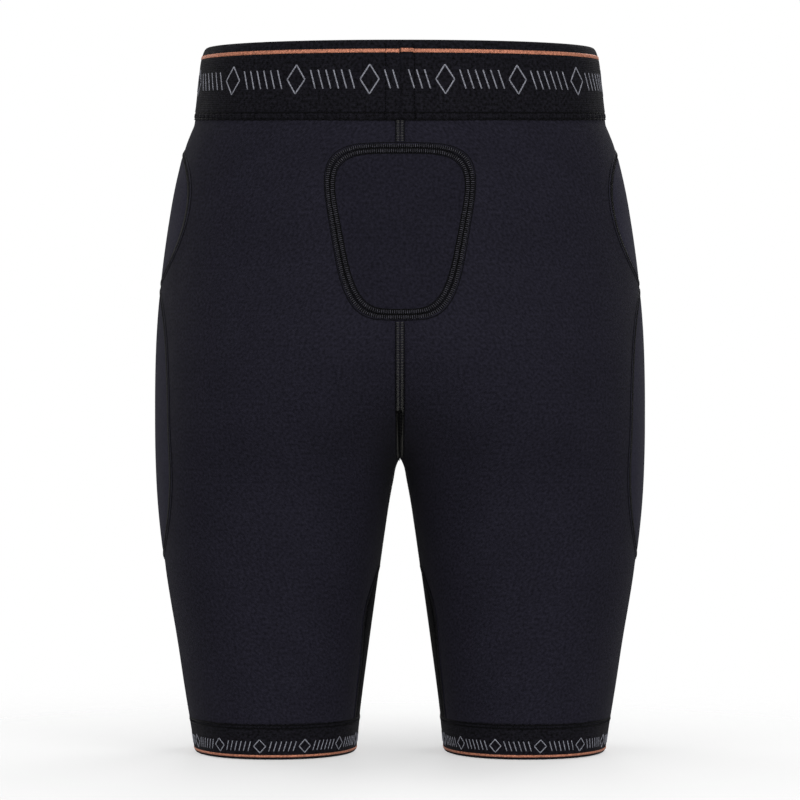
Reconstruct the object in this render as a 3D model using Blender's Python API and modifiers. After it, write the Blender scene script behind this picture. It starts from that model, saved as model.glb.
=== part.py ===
"""Padded impact shorts, modelled as the sewn panels, bands, pockets and pads they are made of.

Metres, +Z up. The origin is midway between the two hems, on the plane both hems end at, and
halfway between the foremost and the rearmost point. The front of the shorts faces -Y, the
back faces +Y, and the wearer's left side is at +X.

One smooth body surface carries every fabric piece. Each height has a level section: one
rounded outline around each leg, which opens at the crotch and grows into the hip outline.
A point on it is named by its height and its distance along the section from the side line,
positive towards the back, and every layer is that surface lifted outwards or inwards.
"""

import functools
import math

import bmesh
import bpy
import numpy as np
from mathutils import Matrix, Vector

# Driving heights
HEIGHT = 0.475
CROTCH = 0.199
WAIST_SEAM = 0.424
HEM_SEAM = 0.0235
SPLIT_HEIGHT = 0.135  # above the crotch, by which the two leg outlines have become one
SPLIT_START = 0.35  # how fast they start to join, against the mean rate

# The sections are drawn about the side line, which lies this far in front of the middle
SIDE_LINE_Y = -0.0112

# Cloth and foam
FABRIC = 0.0012
PATCH = 0.0010
ELASTIC = 0.0020
THREAD = 0.0005
FOAM = 0.0080
LAYER_GAP = 0.0014
SEAM_GAP = 0.0007

# Level sections: (height, distance) stations, and how square the outline is
OUTER_EDGE = (
    (0.0, 0.139), (0.06, 0.1487), (0.12, 0.1585), (0.165, 0.1637), (0.23, 0.1655),
    (0.29, 0.1642), (0.35, 0.1577), (0.39, 0.1505), (0.412, 0.1446), (0.424, 0.1398),
)
INNER_EDGE = (
    (0.0, 0.030), (0.031, 0.0265), (0.075, 0.0207), (0.118, 0.0148),
    (0.150, 0.0103), (0.172, 0.0069), (0.183, 0.0048), (0.194, 0.0024), (0.199, 0.0),
)
BACK_DEPTH = (
    (0.0, 0.070), (0.06, 0.0775), (0.12, 0.0875), (0.19, 0.105), (0.23, 0.124),
    (0.265, 0.1325), (0.30, 0.130), (0.34, 0.1195), (0.39, 0.106), (0.424, 0.0965),
)
FRONT_DEPTH = (
    (0.0, 0.064), (0.06, 0.071), (0.12, 0.080), (0.19, 0.0925), (0.25, 0.101),
    (0.32, 0.106), (0.38, 0.1035), (0.424, 0.0985),
)
WAIST_TAPER = {"outer": 0.0055, "back": 0.004, "front": 0.003}  # lost over the waistband
SQUARENESS = 2.15
POUCH_RISE = 0.012
POUCH_SPREAD = 0.042
POUCH_BOTTOM, POUCH_PEAK, POUCH_TOP = 0.200, 0.255, 0.345

# Panel edges
WIDEST_HEIGHT = 0.26  # where the panels reach furthest round
GUSSET_REACH = ((0.0, 0.0245), (0.033, 0.0265), (0.060, 0.0290), (0.085, 0.0350), (0.1245, 0.0365))
GUSSET_SHOULDER = 0.090  # height above which the gusset narrows to its rounded top
GUSSET_TOP = 0.1245
GUSSET_END = 0.121  # height of the short straight edge at the solid gusset's top
POUCH_SEAM_START = CROTCH + 0.004  # where the pouch's two seams part
POUCH_PANEL_BOTTOM = CROTCH + 0.008
POUCH_HALF_WIDTH = 0.052
POUCH_WIDENING = 0.065  # height over which the pouch gains two thirds of its width
POUCH_NARROWS_ABOVE = 0.30
POUCH_NARROWING = 0.25  # share of its width lost up to the waist seam

# Patches and pockets, as rounded outlines on the body surface
HIP_POCKET = {"centre": 0.3605, "half_height": 0.0465, "half_width": 0.053, "power": 2.1}
THIGH_POCKET = {"centre": 0.222, "half_height": 0.0925, "half_width": 0.066, "power": 2.1}
TAILBONE_POCKET = {
    "centre": 0.3495, "half_height": 0.0583, "half_width": 0.0453, "power": 4.0, "flare": 0.22,
}
TAILBONE_BORDER = 0.0065
HIP_NECK = 0.0045  # each side patch stops this far from the neck where the two pockets meet
PATCH_END = 0.0005  # a patch stops this far inside its outline's ends, with a short straight edge

# Movement
HINGE_HEIGHT = 0.315
FLEX_SLOPE = math.radians(49.0)
FLEX_LENGTH = 0.092
HIP_PAD_TILT = 0.23
TAILBONE_PAD_TILT = 0.265
PAD_CLEARANCE = 0.0028
TAPE_CLEARANCE = 0.0016  # the tailbone pad also passes the join tape inside the waistband
HIP_HINGE = (0.08, 0.0, HINGE_HEIGHT)

# Pads, as rounded outlines, and the linings behind them
HIP_PAD = {"centre": 0.3615, "half_height": 0.0325, "half_width": 0.037, "power": 4.0}
TAILBONE_PAD = {"centre": 0.348, "half_height": 0.045, "half_width": 0.031, "power": 4.0}
THIGH_PAD = {"centre": 0.219, "half_height": 0.074, "half_width": 0.052, "power": 2.4}
PAD_EDGE = 0.0015
PAD_END = 0.985  # share of a pad's half height at which its rounded end is cut straight
HIP_LINER = {"bottom": 0.3195, "top": 0.402, "half_width": 0.0485}
TAILBONE_LINER = {"bottom": 0.2925, "top": 0.400, "half_width": 0.0415}
THIGH_LINER = {"bottom": 0.1345, "top": 0.302, "inset": 0.004, "least_half_width": 0.012}

# Seams and small sewn pieces
WAIST_STITCHING = (WAIST_SEAM - 0.002, WAIST_SEAM + 0.006)
HEM_STITCHING = (HEM_SEAM - 0.004, HEM_SEAM + 0.002)
CENTRE_STITCHING_HALF_WIDTH = 0.00275
CENTRE_STITCHING_BOTTOM = CROTCH + 0.052
CENTRE_STITCHING_TOP = WAIST_SEAM - 0.003
STITCHING_GAP = 0.001
JOIN_TAPE = {"bottom": WAIST_SEAM + 0.006, "top": HEIGHT - 0.005, "half_width": 0.011}
LABEL = {"bottom": WAIST_SEAM - 0.012, "top": WAIST_SEAM + 0.018, "start": 0.055, "width": 0.024}

# Spacing of the meshes
COLUMN = 0.0175
BACK_COLUMNS = ((0.0, 0.185), (0.19, 0.25), (0.25, 0.25), (0.424, 0.196))  # height, width
FRONT_COLUMNS = ((0.0, 0.165), (0.19, 0.18), (0.25, 0.17), (0.424, 0.15))
WAIST_COLUMNS = 22
HEM_COLUMNS = 24
MIDDLE_REACH = 0.0015  # how near the middle plane a half piece's open edge lies before it is settled

NAVY = (0.012, 0.011, 0.017)
SIDE_NAVY = (0.018, 0.018, 0.025)
BLACK = (0.006, 0.006, 0.007)
THREAD_GREY = (0.030, 0.030, 0.036)
FOAM_GREY = (0.06, 0.06, 0.065)
LINER_GREY = (0.020, 0.020, 0.024)
LABEL_GREY = (0.30, 0.30, 0.31)


def clear_scene():
    for old in list(bpy.data.objects):
        bpy.data.objects.remove(old, do_unlink=True)


def smooth_step(value):
    value = min(1.0, max(0.0, value))
    return value * value * (3.0 - 2.0 * value)


def along(stations, height):
    """A smooth curve through the stations, read at a height."""
    heights = [station[0] for station in stations]
    values = [station[1] for station in stations]
    slopes = np.gradient(values, heights)
    height = min(max(height, heights[0]), heights[-1])
    index = min(int(np.searchsorted(heights, height, side="right")) - 1, len(heights) - 2)
    span = heights[index + 1] - heights[index]
    t = (height - heights[index]) / span
    ease = t * t * (3.0 - 2.0 * t)
    leave = t * (1.0 - t) * (1.0 - t) * span * slopes[index]
    arrive = t * t * (1.0 - t) * span * slopes[index + 1]
    return values[index] * (1.0 - ease) + values[index + 1] * ease + leave - arrive


def sizes_at(height):
    """Outer edge, inner edge, back depth and front depth of the left half at a height."""
    above_seam = max(0.0, height - WAIST_SEAM) / (HEIGHT - WAIST_SEAM)
    outer = along(OUTER_EDGE, height) - WAIST_TAPER["outer"] * above_seam
    back = along(BACK_DEPTH, height) - WAIST_TAPER["back"] * above_seam
    front = along(FRONT_DEPTH, height) - WAIST_TAPER["front"] * above_seam
    if height <= CROTCH:
        return outer, along(INNER_EDGE, height), back, front
    rise = min(1.0, (height - CROTCH) / SPLIT_HEIGHT)
    joined = smooth_step(rise) + SPLIT_START * rise * (1.0 - rise) ** 2
    return outer, -outer * joined, back, front


def pouch_bulge(height):
    if not POUCH_BOTTOM < height < POUCH_TOP:
        return 0.0
    if height < POUCH_PEAK:
        reach = (height - POUCH_BOTTOM) / (POUCH_PEAK - POUCH_BOTTOM)
    else:
        reach = (POUCH_TOP - height) / (POUCH_TOP - POUCH_PEAK)
    return POUCH_RISE * smooth_step(reach)


class Section:
    """The left half's outline at one height, from the centre front or inner leg to the back."""

    def __init__(self, height):
        outer, inner, back, front = sizes_at(height)
        centre, half_width = 0.5 * (outer + inner), 0.5 * (outer - inner)
        turn = np.radians(np.linspace(-180.0, 180.0, 721))
        power = 2.0 / SQUARENESS
        x = centre + half_width * np.sign(np.cos(turn)) * np.abs(np.cos(turn)) ** power
        depth = np.where(turn > 0.0, back, front)
        y = depth * np.sign(np.sin(turn)) * np.abs(np.sin(turn)) ** power
        y -= np.where(turn < 0.0, pouch_bulge(height) * np.exp(-((x / POUCH_SPREAD) ** 2)), 0.0)
        if inner < 0.0:
            x, y = self.clipped(x, y)
        steps = np.hypot(np.diff(x), np.diff(y))
        travel = np.concatenate([[0.0], np.cumsum(steps)])
        side = np.interp(0.0, y[self.forward(y)], travel[self.forward(y)])
        self.height = height
        self.distance = travel - side
        self.x, self.y = x, y
        along_x, along_y = np.gradient(x, travel), np.gradient(y, travel)
        length = np.hypot(along_x, along_y)
        self.normal_x, self.normal_y = along_y / length, -along_x / length
        self.front_end, self.back_end = self.distance[0], self.distance[-1]

    @staticmethod
    def clipped(x, y):
        """Keeps the run with x >= 0 and ends it exactly on the middle plane."""
        kept = np.flatnonzero(x >= 0.0)
        first, last = kept[0], kept[-1]
        part_in = x[first] / (x[first] - x[first - 1])
        start_y = y[first] + part_in * (y[first - 1] - y[first])
        part_out = x[last] / (x[last] - x[last + 1])
        end_y = y[last] + part_out * (y[last + 1] - y[last])
        x = np.concatenate([[0.0], x[first : last + 1], [0.0]])
        y = np.concatenate([[start_y], y[first : last + 1], [end_y]])
        keep = np.concatenate([[True], np.hypot(np.diff(x), np.diff(y)) > 1e-9])
        return x[keep], y[keep]

    @staticmethod
    def forward(y):
        """The run along which y only grows, from the front's deepest point to the back's."""
        return slice(int(np.argmin(y)), int(np.argmax(y)) + 1)

    def point(self, distance, lift=0.0):
        x, y, normal_x, normal_y = (
            float(np.interp(distance, self.distance, values))
            for values in (self.x, self.y, self.normal_x, self.normal_y)
        )
        length = math.hypot(normal_x, normal_y)
        return Vector((x + lift * normal_x / length, y + lift * normal_y / length, self.height))

    def distance_at_depth(self, depth):
        """Distance along the section to the side point with this y."""
        run = self.forward(self.y)
        return float(np.interp(depth, self.y[run], self.distance[run]))

    def distance_at_back(self, across):
        """Distance along the section to the back point with this x."""
        run = slice(int(np.argmax(self.x)), None)
        return float(np.interp(-across, -self.x[run], self.distance[run]))

    def distance_at_front(self, across):
        """Distance along the section to the front point with this x."""
        run = slice(0, int(np.argmax(self.x)) + 1)
        return float(np.interp(across, self.x[run], self.distance[run]))


@functools.lru_cache(maxsize=None)
def section(height):
    return Section(height)


def outline_width(pocket, height):
    """Half width of a pocket outline at a height."""
    rise = (height - pocket["centre"]) / pocket["half_height"]
    power = pocket["power"]
    flare = 1.0 + pocket.get("flare", 0.0) * rise
    return pocket["half_width"] * flare * max(0.0, 1.0 - abs(rise) ** power) ** (1.0 / power)


def inset(pocket, amount):
    smaller = dict(pocket)
    smaller["half_width"] = pocket["half_width"] - amount
    smaller["half_height"] = pocket["half_height"] - amount
    return smaller


# Mesh building


@functools.lru_cache(maxsize=None)
def material(name, colour, roughness):
    made = bpy.data.materials.new(name)
    made.use_nodes = True
    shader = made.node_tree.nodes["Principled BSDF"]
    shader.inputs["Base Color"].default_value = (*colour, 1.0)
    shader.inputs["Roughness"].default_value = roughness
    shader.inputs["Metallic"].default_value = 0.0
    return made


def grid(columns, rows, place):
    """A sheet of quads; place(u, v) gives each corner, with u and v from 0 to 1."""
    sheet = bmesh.new()
    bmesh.ops.create_grid(sheet, x_segments=columns, y_segments=rows, size=0.5)
    for corner in sheet.verts:
        corner.co = place(corner.co.x + 0.5, corner.co.y + 0.5)
    return sheet


def mirrored(sheet):
    bmesh.ops.transform(sheet, matrix=Matrix.Scale(-1.0, 4, (1.0, 0.0, 0.0)), verts=sheet.verts)
    bmesh.ops.reverse_faces(sheet, faces=sheet.faces)
    return sheet


def settle_on_middle(sheet):
    """Moves a half piece's open edge exactly onto the middle plane, where its mirror meets it."""
    for corner in sheet.verts:
        if corner.is_boundary and abs(corner.co.x) < MIDDLE_REACH:
            corner.co.x = 0.0


def add_object(name, sheet, look, thickness=None, bevel=None, both_sides=False, hinge=None):
    """Puts a sheet in the scene, thickened inwards, with its origin at its joint if it has one."""
    if both_sides:
        settle_on_middle(sheet)
    mesh = bpy.data.meshes.new(name)
    origin = Vector(hinge) if hinge else Vector((0.0, 0.0, 0.0))
    bmesh.ops.translate(sheet, verts=sheet.verts, vec=-origin)
    sheet.to_mesh(mesh)
    sheet.free()
    mesh.shade_smooth()
    mesh.materials.append(look)
    made = bpy.data.objects.new(name, mesh)
    made.location = origin + Vector((0.0, SIDE_LINE_Y, 0.0))
    SHORTS.objects.link(made)
    if both_sides:
        mirror = made.modifiers.new("Mirror", "MIRROR")
        mirror.merge_threshold = 0.0001
    if thickness:
        solid = made.modifiers.new("Solidify", "SOLIDIFY")
        solid.thickness = thickness
        solid.offset = -1.0
    if bevel:
        edge = made.modifiers.new("Bevel", "BEVEL")
        edge.width = bevel
        edge.segments = 1
        edge.limit_method = "ANGLE"
        edge.angle_limit = math.radians(60.0)
    return made


def both(name, build, look, hinge=None, **extra):
    """A left piece and its mirror image on the right, as separate objects."""
    for side in ("left", "right"):
        sheet = build() if side == "left" else mirrored(build())
        place = None
        if hinge:
            place = (hinge[0] if side == "left" else -hinge[0], hinge[1], hinge[2])
        add_object(name.format(side=side), sheet, look, hinge=place, **extra)


# The shell: front and back panels, pouch and gussets


def gusset_rows():
    """Heights of the gusset's rows, close together where it narrows to its top."""
    straight = np.linspace(HEM_SEAM + SEAM_GAP, GUSSET_SHOULDER, 4)
    closing = GUSSET_SHOULDER + (GUSSET_END - GUSSET_SHOULDER) * np.array((0.42, 0.77, 1.0))
    return np.concatenate([straight, closing])


def row_heights():
    """Heights of the panel rows, close together at the crotch, where the surface turns under."""
    over_gusset = np.linspace(GUSSET_END + 2.0 * SEAM_GAP, CROTCH - 0.010, 3)
    below = np.concatenate([gusset_rows(), over_gusset])
    turning = CROTCH + np.array([-0.004, 0.0, 0.003, 0.009, 0.020, 0.036])
    above = np.linspace(CROTCH + 0.060, WAIST_SEAM - SEAM_GAP, 7)
    return np.concatenate([below, turning, above])


def gusset_reach(height):
    """How far the gusset reaches in front of and behind the innermost line of the leg."""
    if height > GUSSET_END:
        return 0.0
    narrowing = max(0.0, height - GUSSET_SHOULDER) / (GUSSET_TOP - GUSSET_SHOULDER)
    return along(GUSSET_REACH, height) * math.sqrt(1.0 - narrowing**2)


def pouch_half_width(height):
    widen = 1.0 - math.exp(-max(0.0, height - POUCH_SEAM_START) / POUCH_WIDENING)
    above = max(0.0, height - POUCH_NARROWS_ABOVE) / (WAIST_SEAM - POUCH_NARROWS_ABOVE)
    return POUCH_HALF_WIDTH * widen * (1.0 - POUCH_NARROWING * above**2)


def spread(steady_widths, height, reach, u):
    """Distance from the side line at column u of a panel that reaches this far.

    The columns keep to slow curves, and take up the jump in width at the crotch near its edge.
    """
    steady = along(steady_widths, height)
    return u * steady + u**4 * (reach - steady)


def back_panel():
    heights = row_heights()
    columns = round(section(WIDEST_HEIGHT).back_end / COLUMN)

    def place(u, v):
        height = float(heights[round(v * (len(heights) - 1))])
        level = section(height)
        reach = level.back_end - SEAM_GAP - gusset_reach(height)
        return kept_left(level.point(SEAM_GAP / 2 + spread(BACK_COLUMNS, height, reach, u)))

    return grid(columns, len(heights) - 1, place)


def kept_left(point):
    point.x = max(point.x, SEAM_GAP / 2)
    return point


def front_panel():
    heights = row_heights()
    columns = round(-section(WIDEST_HEIGHT).front_end / COLUMN)

    def place(u, v):
        height = float(heights[round(v * (len(heights) - 1))])
        level = section(height)
        start = level.front_end + SEAM_GAP / 2 + gusset_reach(height)
        if height > CROTCH and pouch_half_width(height) > SEAM_GAP:
            start = level.distance_at_front(pouch_half_width(height)) + SEAM_GAP / 2
        reach = -start - SEAM_GAP / 2
        return kept_left(level.point(-SEAM_GAP / 2 - spread(FRONT_COLUMNS, height, reach, 1.0 - u)))

    return grid(columns, len(heights) - 1, place)


def flex_cut(sheet, keep):
    """Cuts a left panel at the two slanted lines between which the cloth flexes at the hip."""
    slant = Vector((math.sin(FLEX_SLOPE), 0.0, -math.cos(FLEX_SLOPE)))
    crotch = Vector((0.0, 0.0, CROTCH))
    gap = slant * (SEAM_GAP / 2)
    upper_line, lower_line = crotch, crotch + slant * FLEX_LENGTH
    cuts = {
        "upper": ((upper_line - gap, slant),),
        "flex": ((upper_line + gap, -slant), (lower_line - gap, slant)),
        "lower": ((lower_line + gap, -slant),),
    }
    for where, direction in cuts[keep]:
        bmesh.ops.bisect_plane(
            sheet,
            geom=list(sheet.verts) + list(sheet.edges) + list(sheet.faces),
            dist=1e-6,
            plane_co=where,
            plane_no=direction,
            clear_outer=True,
        )
    return sheet


def add_shell():
    navy = material("body_knit", NAVY, 0.85)
    for region in ("upper", "flex", "lower"):
        hinge = HIP_HINGE if region == "lower" else None
        both(
            "back_panel_{side}_" + region,
            lambda region=region: flex_cut(back_panel(), region),
            navy, thickness=FABRIC, hinge=hinge,
        )
        both(
            "front_panel_{side}_" + region,
            lambda region=region: flex_cut(front_panel(), region),
            navy, thickness=FABRIC, hinge=hinge,
        )
    both("front_pouch_{side}", front_pouch, navy, thickness=FABRIC)
    both(
        "inner_thigh_gusset_{side}", inner_gusset,
        material("gusset_mesh", BLACK, 0.9), thickness=FABRIC, hinge=HIP_HINGE,
    )


def front_pouch():
    bottom, top = POUCH_PANEL_BOTTOM, WAIST_SEAM - SEAM_GAP

    def place(u, v):
        level = section(round(bottom + v * (top - bottom), 6))
        start = level.front_end + SEAM_GAP / 2
        end = level.distance_at_front(pouch_half_width(level.height)) - SEAM_GAP / 2
        return kept_left(level.point(start + u * (end - start)))

    return grid(4, 10, place)


def inner_gusset():
    """The mesh panel, which ends a little below the panels' edges that close over its top."""
    heights = gusset_rows()

    def place(u, v):
        height = float(heights[round(v * (len(heights) - 1))])
        level = section(height - 2.0 * SEAM_GAP if height == GUSSET_END else height)
        across = (1.0 - 2.0 * u) * (gusset_reach(height) - SEAM_GAP / 2)
        if across > 0.0:
            return level.point(level.back_end - across)
        return level.point(level.front_end - across)

    return grid(6, len(heights) - 1, place)


# Patches on the outside of the shell


def eased(bottom, top, v):
    """A height between bottom and top, with rows drawn together towards both ends."""
    return round(bottom + (0.5 - 0.5 * math.cos(math.pi * v)) * (top - bottom), 6)


def side_patch(pocket, bottom, top, rows):
    def place(u, v):
        height = eased(bottom, top, v)
        level = section(height)
        depth = (2.0 * u - 1.0) * outline_width(pocket, height)
        return level.point(level.distance_at_depth(depth), LAYER_GAP + PATCH)

    return grid(8, rows, place)


def tailbone_patch():
    pocket = inset(TAILBONE_POCKET, TAILBONE_BORDER)
    bottom = pocket["centre"] - pocket["half_height"] + PATCH_END
    top = pocket["centre"] + pocket["half_height"] - PATCH_END

    def place(u, v):
        height = eased(bottom, top, v)
        level = section(height)
        across = (1.0 - u) * outline_width(pocket, height)
        return level.point(level.distance_at_back(across), LAYER_GAP + PATCH)

    return grid(3, 9, place)


def tailbone_border():
    """The stitched edge around the tailbone patch: half of a closed strip, mirrored."""

    def place(u, v):
        pocket = inset(TAILBONE_POCKET, (1.0 - v) * (TAILBONE_BORDER - SEAM_GAP))
        turn = math.pi * (u - 0.5)
        rise = math.copysign(abs(math.sin(turn)) ** (2.0 / pocket["power"]), math.sin(turn))
        height = round(pocket["centre"] + pocket["half_height"] * rise, 6)
        width = pocket["half_width"] * (1.0 + pocket["flare"] * rise)
        across = width * abs(math.cos(turn)) ** (2.0 / pocket["power"]) if 0.0 < u < 1.0 else 0.0
        level = section(height)
        return level.point(level.distance_at_back(across), LAYER_GAP + PATCH)

    strip = grid(20, 1, place)
    bmesh.ops.reverse_faces(strip, faces=strip.faces)
    return strip


def add_patches():
    knit = material("side_knit", SIDE_NAVY, 0.8)
    bottom = HIP_POCKET["centre"] - HIP_POCKET["half_height"] + HIP_NECK
    top = HIP_POCKET["centre"] + HIP_POCKET["half_height"] - PATCH_END
    both(
        "hip_patch_{side}", lambda: side_patch(HIP_POCKET, bottom, top, 8), knit, thickness=PATCH,
    )
    low = THIGH_POCKET["centre"] - THIGH_POCKET["half_height"] + PATCH_END
    high = THIGH_POCKET["centre"] + THIGH_POCKET["half_height"] - HIP_NECK
    both(
        "thigh_patch_{side}", lambda: side_patch(THIGH_POCKET, low, high, 11), knit,
        thickness=PATCH, hinge=HIP_HINGE,
    )
    add_object(
        "tailbone_patch", tailbone_patch(), material("body_knit", NAVY, 0.85),
        thickness=PATCH, both_sides=True,
    )
    add_object(
        "tailbone_coverstitch", tailbone_border(), material("thread", THREAD_GREY, 0.7),
        thickness=PATCH, both_sides=True,
    )


# Bands


def band(bottom, top, outer_lift, inner_lift, columns, closed):
    """A strip with square edges around a level section: half of the waist, or all of one leg."""
    profile = ((outer_lift, bottom), (outer_lift, top), (inner_lift, top), (inner_lift, bottom))

    def place(u, v):
        lift, height = profile[round(v * 4) % 4]
        level = section(round(height, 6))
        reach = (u % 1.0) if closed else u
        start = level.front_end
        return level.point(start + reach * (level.back_end - start), lift)

    strip = grid(columns, 4, place)
    bmesh.ops.remove_doubles(strip, verts=strip.verts, dist=1e-6)
    return strip


def seam_strip(low, high, columns, closed):
    """Coverstitch thread over a band's seam."""
    return band(low, high, LAYER_GAP + THREAD, LAYER_GAP, columns, closed)


def centre_back_strip(bottom, top, rows):
    def place(u, v):
        level = section(round(bottom + v * (top - bottom), 6))
        middle = level.point(level.back_end)
        across = (1.0 - u) * CENTRE_STITCHING_HALF_WIDTH
        return Vector((across, middle.y + LAYER_GAP + THREAD, middle.z))

    return grid(1, rows, place)


def inside_tab(bottom, top, start, width):
    """A small flat piece on the inside of the waistband, from start along the section."""

    def place(u, v):
        level = section(round(bottom + v * (top - bottom), 6))
        travel = level.back_end - start - (1.0 - u) * width
        return level.point(travel, -ELASTIC - LAYER_GAP)

    return grid(2, 2, place)


def add_bands():
    elastic = material("elastic", BLACK, 0.75)
    thread = material("thread", THREAD_GREY, 0.7)
    add_object(
        "waistband", band(WAIST_SEAM, HEIGHT, 0.0, -ELASTIC, WAIST_COLUMNS, False),
        elastic, both_sides=True,
    )
    both(
        "hem_band_{side}", lambda: band(0.0, HEM_SEAM, 0.0, -ELASTIC, HEM_COLUMNS, True),
        elastic, hinge=HIP_HINGE,
    )
    add_object(
        "waist_coverstitch", seam_strip(*WAIST_STITCHING, WAIST_COLUMNS, False),
        thread, both_sides=True,
    )
    both(
        "hem_coverstitch_{side}", lambda: seam_strip(*HEM_STITCHING, HEM_COLUMNS, True),
        thread, hinge=HIP_HINGE,
    )
    pocket_top = TAILBONE_POCKET["centre"] + TAILBONE_POCKET["half_height"]
    pocket_bottom = TAILBONE_POCKET["centre"] - TAILBONE_POCKET["half_height"]
    add_object(
        "centre_back_coverstitch_upper",
        centre_back_strip(pocket_top + STITCHING_GAP, CENTRE_STITCHING_TOP, 2),
        thread, thickness=THREAD, both_sides=True,
    )
    add_object(
        "centre_back_coverstitch_lower",
        centre_back_strip(CENTRE_STITCHING_BOTTOM, pocket_bottom - STITCHING_GAP, 5),
        thread, thickness=THREAD, both_sides=True,
    )
    add_object(
        "waistband_join_tape",
        inside_tab(JOIN_TAPE["bottom"], JOIN_TAPE["top"], 0.0, JOIN_TAPE["half_width"]),
        elastic, thickness=PATCH, both_sides=True,
    )
    add_object(
        "care_label",
        inside_tab(LABEL["bottom"], LABEL["top"], LABEL["start"], LABEL["width"]),
        material("label_satin", LABEL_GREY, 0.5), thickness=THREAD,
    )


# Pads and the pockets that hold them


def hip_pad_face(height, depth, lift):
    """The outer face of a hip pad: the waist outline carried down along the way out."""
    waist = section(WAIST_SEAM)
    point = waist.point(waist.distance_at_depth(depth), lift - PAD_CLEARANCE)
    drop = WAIST_SEAM - height
    return point + Vector((HIP_PAD_TILT * drop, 0.0, -drop))


def tailbone_pad_face(height, across, lift):
    waist = section(WAIST_SEAM)
    point = waist.point(waist.distance_at_back(across), lift - PAD_CLEARANCE - TAPE_CLEARANCE)
    drop = WAIST_SEAM - height
    return point + Vector((0.0, TAILBONE_PAD_TILT * drop, -drop))


def thigh_pad_face(height, depth, lift):
    level = section(height)
    return level.point(level.distance_at_depth(depth), lift - FABRIC - LAYER_GAP)


def pad(face, shape, columns, rows, mirror_half=False):
    def place(u, v):
        rise = math.sin(0.5 * math.pi * (2.0 * v - 1.0)) * PAD_END
        height = round(shape["centre"] + shape["half_height"] * rise, 6)
        reach = (1.0 - u) if mirror_half else (2.0 * u - 1.0)
        return face(height, reach * outline_width(shape, height), 0.0)

    return grid(columns, rows, place)


def pocket_liner(face, shell, bottom, top, half_width, columns, rows, closed_top, half=False):
    """A lining sewn to the shell along its edges and standing off behind the pad between them."""

    def place(u, v):
        height = eased(bottom, top, v)
        reach = math.sin(0.5 * math.pi * (1.0 - u)) if half else -math.cos(math.pi * u)
        across = reach * half_width(height)
        on_edge = abs(reach) > 0.999 or v < 0.001 or (closed_top and v > 0.999)
        if on_edge:
            return shell(height, across, -FABRIC - LAYER_GAP)
        return face(height, across, -FOAM - LAYER_GAP - FABRIC / 2)

    return grid(columns, rows, place)


def side_shell(height, depth, lift):
    level = section(height)
    return level.point(level.distance_at_depth(depth), lift)


def back_shell(height, across, lift):
    level = section(height)
    return level.point(level.distance_at_back(across), lift)


def add_pads():
    foam = material("foam", FOAM_GREY, 0.9)
    slab = {"thickness": FOAM, "bevel": PAD_EDGE}
    both("hip_pad_{side}", lambda: pad(hip_pad_face, HIP_PAD, 6, 6), foam, **slab)
    both(
        "thigh_pad_{side}", lambda: pad(thigh_pad_face, THIGH_PAD, 7, 8), foam,
        hinge=HIP_HINGE, **slab,
    )
    add_object(
        "tailbone_pad", pad(tailbone_pad_face, TAILBONE_PAD, 3, 6, mirror_half=True), foam,
        both_sides=True, **slab,
    )


def thigh_liner_width(height):
    narrower = outline_width(inset(THIGH_POCKET, THIGH_LINER["inset"]), height)
    return max(THIGH_LINER["least_half_width"], narrower)


def add_pocket_liners():
    lining = material("lining_mesh", LINER_GREY, 0.85)
    both(
        "hip_pocket_liner_{side}",
        lambda: pocket_liner(
            hip_pad_face, side_shell, HIP_LINER["bottom"], HIP_LINER["top"],
            lambda height: HIP_LINER["half_width"], 8, 7, False,
        ),
        lining, thickness=THREAD,
    )
    both(
        "thigh_pocket_liner_{side}",
        lambda: pocket_liner(
            thigh_pad_face, side_shell, THIGH_LINER["bottom"], THIGH_LINER["top"],
            thigh_liner_width, 8, 9, True,
        ),
        lining, thickness=THREAD, hinge=HIP_HINGE,
    )
    add_object(
        "tailbone_pocket_liner",
        pocket_liner(
            tailbone_pad_face, back_shell, TAILBONE_LINER["bottom"], TAILBONE_LINER["top"],
            lambda height: TAILBONE_LINER["half_width"], 4, 7, False, half=True,
        ),
        lining, thickness=THREAD, both_sides=True,
    )


clear_scene()
SHORTS = bpy.data.collections.new("padded_impact_shorts")
bpy.context.scene.collection.children.link(SHORTS)
add_shell()
add_patches()
add_bands()
add_pads()
add_pocket_liners()
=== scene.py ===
"""Looks of the padded impact shorts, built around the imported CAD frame.

Metres, +Z up. The back of the shorts faces +Y and the wearer's left side is at +X. Every cloth
piece is the body surface lifted a little outwards or inwards. A point of that surface is named
by its height and its travel: the distance along the level section from the side line, positive
towards the back. Left pieces are built first, and right pieces are their mirror images.
"""

import functools
import math

import bpy
import numpy as np
from mathutils import Matrix, Vector


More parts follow.
